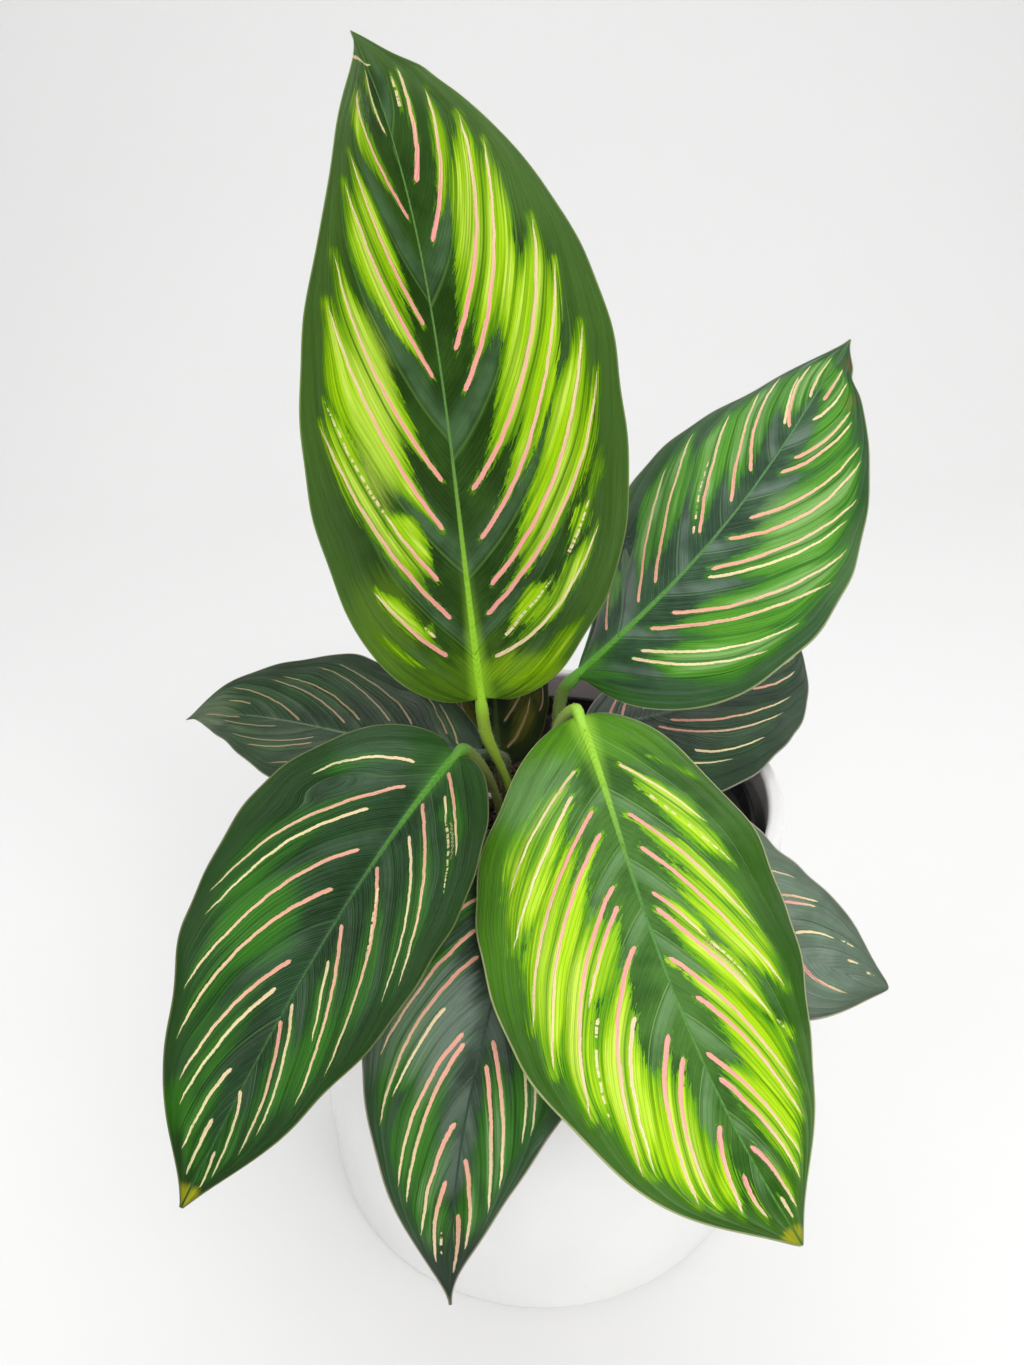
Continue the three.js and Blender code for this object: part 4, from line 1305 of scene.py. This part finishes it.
def stalk_material(name):
    upper, lower = STALK_COLOURS[name]
    g = Graph(f"{name}_stalk_skin")
    climb = g.value("climb")
    place = g.object_place()
    x, y, z = g.split(place)
    ridges = g.noise(g.join(x * 900.0, y * 900.0, z * 60.0), 1.0)
    specks = g.noise(place, 1400.0, 3, 0.6)
    colour = g.mix(g.step(climb, 0.3, 0.62), lower, upper)
    colour = g.mix(g.step(climb, 0.88, 1.0), colour, LOOKS[name]["midrib"][0])
    colour = g.mix(g.step(ridges, 0.35, 0.7, 0, 0.3), colour, linear(upper, 1.25))
    colour = g.mix(g.step(specks, 0.58, 0.72, 0, 0.35), colour, (70, 60, 40))
    colour = g.mix(g.step(climb, 0.1, 0.34, 0.6, 0.0), colour, (120, 92, 66))
    g.set(Base_Color=colour, Roughness=0.38 + ridges * 0.2)
    g.bump(ridges + specks * 0.4, 0.0002)
    return g.material


@cache
def hair_material():
    g = Graph("stalk_hair")
    colour = g.mix(g.noise(g.object_place(), 900.0), (196, 200, 150), (226, 222, 190))
    g.set(Base_Color=colour, Roughness=0.5)
    return g.material


# Planter, nursery pot and soil

PLANTER_RADIUS = 75
PLANTER_HEIGHT = 147
PLANTER_WALL = 4.7
PLANTER_FLOOR = 6
PLANTER_FOOT_RING = 8
PLANTER_FOOT_ROUND = 2.6
PLANTER_RIM_ROUND = 1.7
PLANTER_CORNER_ROUND = 2.5
PLANTER_RECESS = 1.2
NURSERY_TOP = 139.5
NURSERY_RADIUS = 67.3
NURSERY_BASE_RADIUS = 54
NURSERY_WALL = 1.3
NURSERY_FLOOR = 6.3
NURSERY_LIP_DEPTH = 9
NURSERY_LIP_PROUD = 2.2
SOIL_RADIUS = 61.6
SOIL_BASE_RADIUS = 52
SOIL_BASE = 9.0
LOOSE_BITS_RADIUS = 60.5


def arc(centre_radius, centre_height, radius, start, end, steps):
    angle = np.radians(np.linspace(start, end, steps + 1))
    return np.stack([centre_radius + radius * np.cos(angle), centre_height + radius * np.sin(angle)], -1)


def turned(name, profile, sides, material, wobble):
    """Closed body turned round the Z axis from a profile that starts and ends on it."""
    profile = np.asarray(profile, float)
    body = profile[1:-1]
    angle = np.arange(sides) * 2 * math.pi / sides
    radius = body[:, :1] + wobble(body[:, 1:], angle[None])
    ring = np.stack([radius * np.cos(angle), radius * np.sin(angle), np.repeat(body[:, 1:], sides, 1)], -1)
    points = np.vstack([ring.reshape(-1, 3), (0, 0, profile[0, 1]), (0, 0, profile[-1, 1])])
    return new_object(name, points * MM, closed_faces(len(body), sides), material)


def build_planter():
    outer, inner = PLANTER_RADIUS, PLANTER_RADIUS - PLANTER_WALL
    foot, rim, corner = PLANTER_FOOT_ROUND, PLANTER_RIM_ROUND, PLANTER_CORNER_ROUND
    lip = PLANTER_HEIGHT - rim
    walls = np.linspace(foot, lip, 40)[1:-1]
    profile = np.vstack([
        (0, PLANTER_RECESS),
        (outer - PLANTER_FOOT_RING - 1, PLANTER_RECESS),
        (outer - PLANTER_FOOT_RING, 0),
        arc(outer - foot, foot, foot, -90, 0, 8),
        np.stack([np.full_like(walls, outer), walls], -1),
        arc(outer - rim, lip, rim, 0, 90, 8),
        arc(inner + rim, lip, rim, 90, 180, 8),
        np.stack([np.full_like(walls, inner), walls[::-1]], -1)[:-2],
        arc(inner - corner, PLANTER_FLOOR + corner, corner, 0, -90, 6),
        (0, PLANTER_FLOOR),
    ])

    def wobble(height, angle):
        slow = np.sin(2 * angle + 1) * 0.12 + np.sin(3 * angle + height / 40) * 0.06
        return -0.2 + slow * (height > 4)

    planter = turned("planter_glazed", profile, 256, glaze_material(), wobble)
    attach(planter, "root")
    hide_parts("planter")


def glaze_material():
    """White glaze: slight tint changes, fine orange peel and a few pinholes."""
    g = Graph("white_glaze")
    place = g.object_place()
    cloud = g.noise(place, 14.0, 3, 0.5)
    peel = g.noise(place, 260.0, 2, 0.5)
    holes = g.noise(place, 900.0, 1, 0.5)
    colour = g.mix(g.step(cloud, 0.35, 0.65), (236, 236, 234), (242, 242, 240))
    colour = g.mix(g.step(holes, 0.78, 0.82, 0, 0.4), colour, (206, 204, 198))
    g.set(Base_Color=colour, Roughness=g.step(cloud, 0.3, 0.7, 0.2, 0.26))
    g.bump(peel - g.step(holes, 0.78, 0.82), 0.0001, 0.6)
    return g.material


def build_nursery_pot():
    def wall(height):
        share = (height - NURSERY_FLOOR) / (NURSERY_TOP - NURSERY_FLOOR)
        return NURSERY_BASE_RADIUS + (NURSERY_RADIUS - NURSERY_LIP_PROUD - NURSERY_BASE_RADIUS) * share

    foot = NURSERY_TOP - NURSERY_LIP_DEPTH
    inside = NURSERY_RADIUS - NURSERY_WALL
    profile = np.array([
        (0, NURSERY_FLOOR),
        (wall(NURSERY_FLOOR) - 1, NURSERY_FLOOR),
        (wall(NURSERY_FLOOR), NURSERY_FLOOR + 1),
        (wall(60), 60),
        (wall(foot), foot - 0.3),
        (wall(foot) + 0.3, foot),
        (NURSERY_RADIUS - 0.3, foot),
        (NURSERY_RADIUS, foot + 0.3),
        (NURSERY_RADIUS, foot + 4),
        (NURSERY_RADIUS, NURSERY_TOP - 0.5),
        (NURSERY_RADIUS - 0.25, NURSERY_TOP),
        (inside + 0.25, NURSERY_TOP),
        (inside, NURSERY_TOP - 0.3),
        (inside, foot + NURSERY_WALL + 0.3),
        (inside - 0.3, foot + NURSERY_WALL),
        (wall(foot) - NURSERY_WALL, foot + NURSERY_WALL - 0.3),
        (wall(60) - NURSERY_WALL, 60),
        (wall(NURSERY_FLOOR) - NURSERY_WALL, NURSERY_FLOOR + NURSERY_WALL),
        (0, NURSERY_FLOOR + NURSERY_WALL),
    ])

    def wobble(height, angle):
        return 0.05 * np.sin(4 * angle)

    pot = turned("nursery_pot_fine", profile, 192, pot_plastic_material(), wobble)
    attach(pot, "root")
    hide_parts("nursery_pot")


def pot_plastic_material():
    """Black moulded plastic with scuffs and a little dust."""
    g = Graph("black_pot_plastic")
    place = g.object_place()
    scuff = g.noise(place, 120.0, 4, 0.65)
    dust = g.noise(place, 600.0, 2, 0.5)
    colour = g.mix(g.step(scuff, 0.4, 0.75), (22, 23, 25), (44, 45, 47))
    colour = g.mix(g.step(dust, 0.6, 0.75, 0, 0.35), colour, (90, 84, 76))
    g.set(Base_Color=colour, Roughness=g.step(scuff, 0.3, 0.7, 0.42, 0.6))
    g.bump(scuff + dust, 0.00008)
    return g.material


def soil_height(x, y):
    """Height of the potting mix in mm: crowned, lumpy, and drawn down towards the wall."""
    radius = np.hypot(x, y)
    lumps = 0.9 * np.sin(x / 5.1 + 1.3 * np.sin(y / 7.3)) * np.cos(y / 6.2 + np.sin(x / 9.1))
    lumps += 0.45 * np.sin(x / 1.9 + y / 3.1) * np.sin(y / 2.3 - x / 4.7)
    return SOIL_TOP + 2.2 * (1 - (radius / 64) ** 2) + lumps - 1.2


def build_soil():
    rings, sides = 90, 220
    radius = np.linspace(0, SOIL_RADIUS, rings)[1:, None]
    angle = np.arange(sides)[None] * 2 * math.pi / sides
    x, y = radius * np.cos(angle), radius * np.sin(angle)
    rng = np.random.default_rng(4)
    z = soil_height(x, y) + 0.28 * rng.standard_normal(x.shape)
    surface = np.stack([x, y, z], -1).reshape(-1, 3)
    low_x, low_y = SOIL_BASE_RADIUS * np.cos(angle[0]), SOIL_BASE_RADIUS * np.sin(angle[0])
    low = np.stack([low_x, low_y, np.full(sides, SOIL_BASE)], -1)
    points = np.vstack([surface, low, (0, 0, soil_height(0, 0)), (0, 0, SOIL_BASE)])
    faces = [(face[0], *face[:0:-1]) for face in closed_faces(rings, sides)]
    soil = new_object("soil_fine", points * MM, faces, soil_material())
    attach(soil, "root")
    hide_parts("soil")


def soil_material():
    g = Graph("potting_mix")
    place = g.object_place()
    crumbs = g.noise(place, 420.0, 5, 0.7)
    clods = g.noise(place, 90.0, 3, 0.6)
    colour = g.mix(g.step(crumbs, 0.35, 0.65), (26, 19, 15), (58, 44, 34))
    colour = g.mix(g.step(clods, 0.5, 0.7, 0, 0.5), colour, (20, 15, 12))
    g.set(Base_Color=colour, Roughness=0.92)
    g.bump(crumbs, 0.0012)
    return g.material


# A regular body of twenty triangles, with a radius of 1
ICO_POINTS = np.array([
    (0, -1, 1.618), (0, 1, 1.618), (0, -1, -1.618), (0, 1, -1.618), (1.618, 0, 1), (-1.618, 0, 1),
    (1.618, 0, -1), (-1.618, 0, -1), (1, 1.618, 0), (-1, 1.618, 0), (1, -1.618, 0), (-1, -1.618, 0),
]) / 1.902
ICO_FACES = np.array([
    (0, 4, 1), (0, 1, 5), (0, 5, 11), (0, 11, 10), (0, 10, 4), (4, 10, 6), (4, 6, 8), (4, 8, 1),
    (1, 8, 9), (1, 9, 5), (5, 9, 7), (5, 7, 11), (11, 7, 2), (11, 2, 10), (10, 2, 6), (6, 2, 3),
    (6, 3, 8), (8, 3, 9), (9, 3, 7), (7, 3, 2),
])


def scatter(name, count, sizes, stretch, material, seed, raised):
    """Small rough lumps lying in the top of the potting mix, as one piece."""
    rng = np.random.default_rng(seed)
    points, faces = [], []
    for k in range(count):
        radius = LOOSE_BITS_RADIUS * math.sqrt(rng.uniform(0.002, 1))
        angle = rng.uniform(0, 2 * math.pi)
        size = rng.uniform(*sizes)
        x, y = radius * math.cos(angle), radius * math.sin(angle)
        lump = ICO_POINTS * (1 + 0.28 * rng.standard_normal((len(ICO_POINTS), 1)))
        lump = lump * (rng.uniform(*stretch), 1, rng.uniform(0.5, 0.9)) * size
        turn = rng.uniform(0, math.pi)
        lump = lump @ rotation("Z", turn) @ rotation("X", rng.uniform(-0.5, 0.5))
        centre = (x, y, soil_height(x, y) + size * raised)
        points.append(lump + centre)
        faces.append(ICO_FACES + len(ICO_POINTS) * k)
    lumps = new_object(name, np.vstack(points) * MM, np.vstack(faces), material)
    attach(lumps, "root")


def lump_material(name, first, second, scale):
    g = Graph(name)
    grain = g.noise(g.object_place(), scale, 4, 0.65)
    colour = g.mix(g.step(grain, 0.35, 0.65), first, second)
    g.set(Base_Color=colour, Roughness=0.88)
    g.bump(grain, 0.0005)
    return g.material


def build_soil_bits():
    crumbs = lump_material("crumb_brown", (26, 19, 14), (64, 48, 36), 900.0)
    bark = lump_material("bark_brown", (46, 30, 20), (96, 68, 48), 500.0)
    perlite = lump_material("perlite_white", (196, 192, 182), (232, 230, 224), 1200.0)
    scatter("soil_crumbs", 1500, (0.5, 1.7), (0.8, 1.5), crumbs, 11, 0.25)
    scatter("soil_bark", 130, (1.2, 2.8), (1.6, 3.0), bark, 12, 0.15)
    scatter("soil_perlite", 150, (0.6, 1.5), (0.8, 1.3), perlite, 13, 0.3)


# Floor, backdrop and lights

ROOM_COLOUR = (0.98, 0.99, 1.0, 1)
ROOM_STRENGTH = 0.4


def build_stage():
    """White sweep, in metres: a floor that curves up into a wall behind the plant."""
    front, wall, bend, height, half_width = -2.0, 1.25, 0.6, 2.6, 3.0
    line = np.vstack([(front, 0), arc(wall - bend, bend, bend, -90, 0, 24), (wall, height)])
    points = [(x, y, z) for y, z in line for x in (-half_width, half_width)]
    faces = [(2 * k, 2 * k + 1, 2 * k + 3, 2 * k + 2) for k in range(len(line) - 1)]
    sweep = new_object("sweep", points, faces, sweep_material())


def sweep_material():
    g = Graph("sweep_white")
    colour = g.mix(g.noise(g.object_place(), 3.0, 2), (235, 235, 234), (238, 238, 237))
    g.set(Base_Color=colour, Roughness=0.75, Specular_IOR_Level=0.15)
    return g.material


def area_light(name, place, target, size, power, mirrored=True):
    """A soft box. One that isn't mirrored lights the plant without showing in its gloss."""
    data = bpy.data.lights.new(name, "AREA")
    data.shape = "RECTANGLE"
    data.size, data.size_y = size
    data.energy = power
    light = bpy.data.objects.new(name, data)
    light.visible_glossy = mirrored
    back = np.array(place, float) - np.array(target, float)
    back /= np.linalg.norm(back)
    side = np.cross((0, 0.001, 1), back)
    side /= np.linalg.norm(side)
    add_to_scene(light, np.column_stack([side, np.cross(back, side), back]), place)


def build_lights():
    """A pale room that gloss doesn't mirror, and three soft boxes, in metres and watts."""
    world = bpy.data.worlds.new("soft_room")
    world.use_nodes = True
    background = world.node_tree.nodes["Background"]
    background.inputs["Color"].default_value = ROOM_COLOUR
    background.inputs["Strength"].default_value = ROOM_STRENGTH
    bpy.context.scene.world = world
    world.cycles_visibility.glossy = False
    area_light("ceiling", (0.1, 0.35, 1.6), (0.05, 0.15, 0.1), (2.0, 2.2), 14)
    area_light("front", (0.3, -1.05, 1.2), (0.0, -0.15, 0.08), (1.3, 0.7), 15.5, mirrored=False)
    area_light("left", (-1.6, -0.5, 1.1), (0, 0, 0.08), (1.6, 1.2), 3, mirrored=False)
    bpy.context.scene.view_settings.view_transform = "Standard"
    bpy.context.scene.view_settings.look = "None"


# The whole scene

make_camera()
for number, leaf_name in enumerate(LEAVES):
    build_blade(leaf_name, number)
    build_stalk(leaf_name, number)
build_planter()
build_nursery_pot()
build_soil()
build_soil_bits()
build_stage()
build_lights()
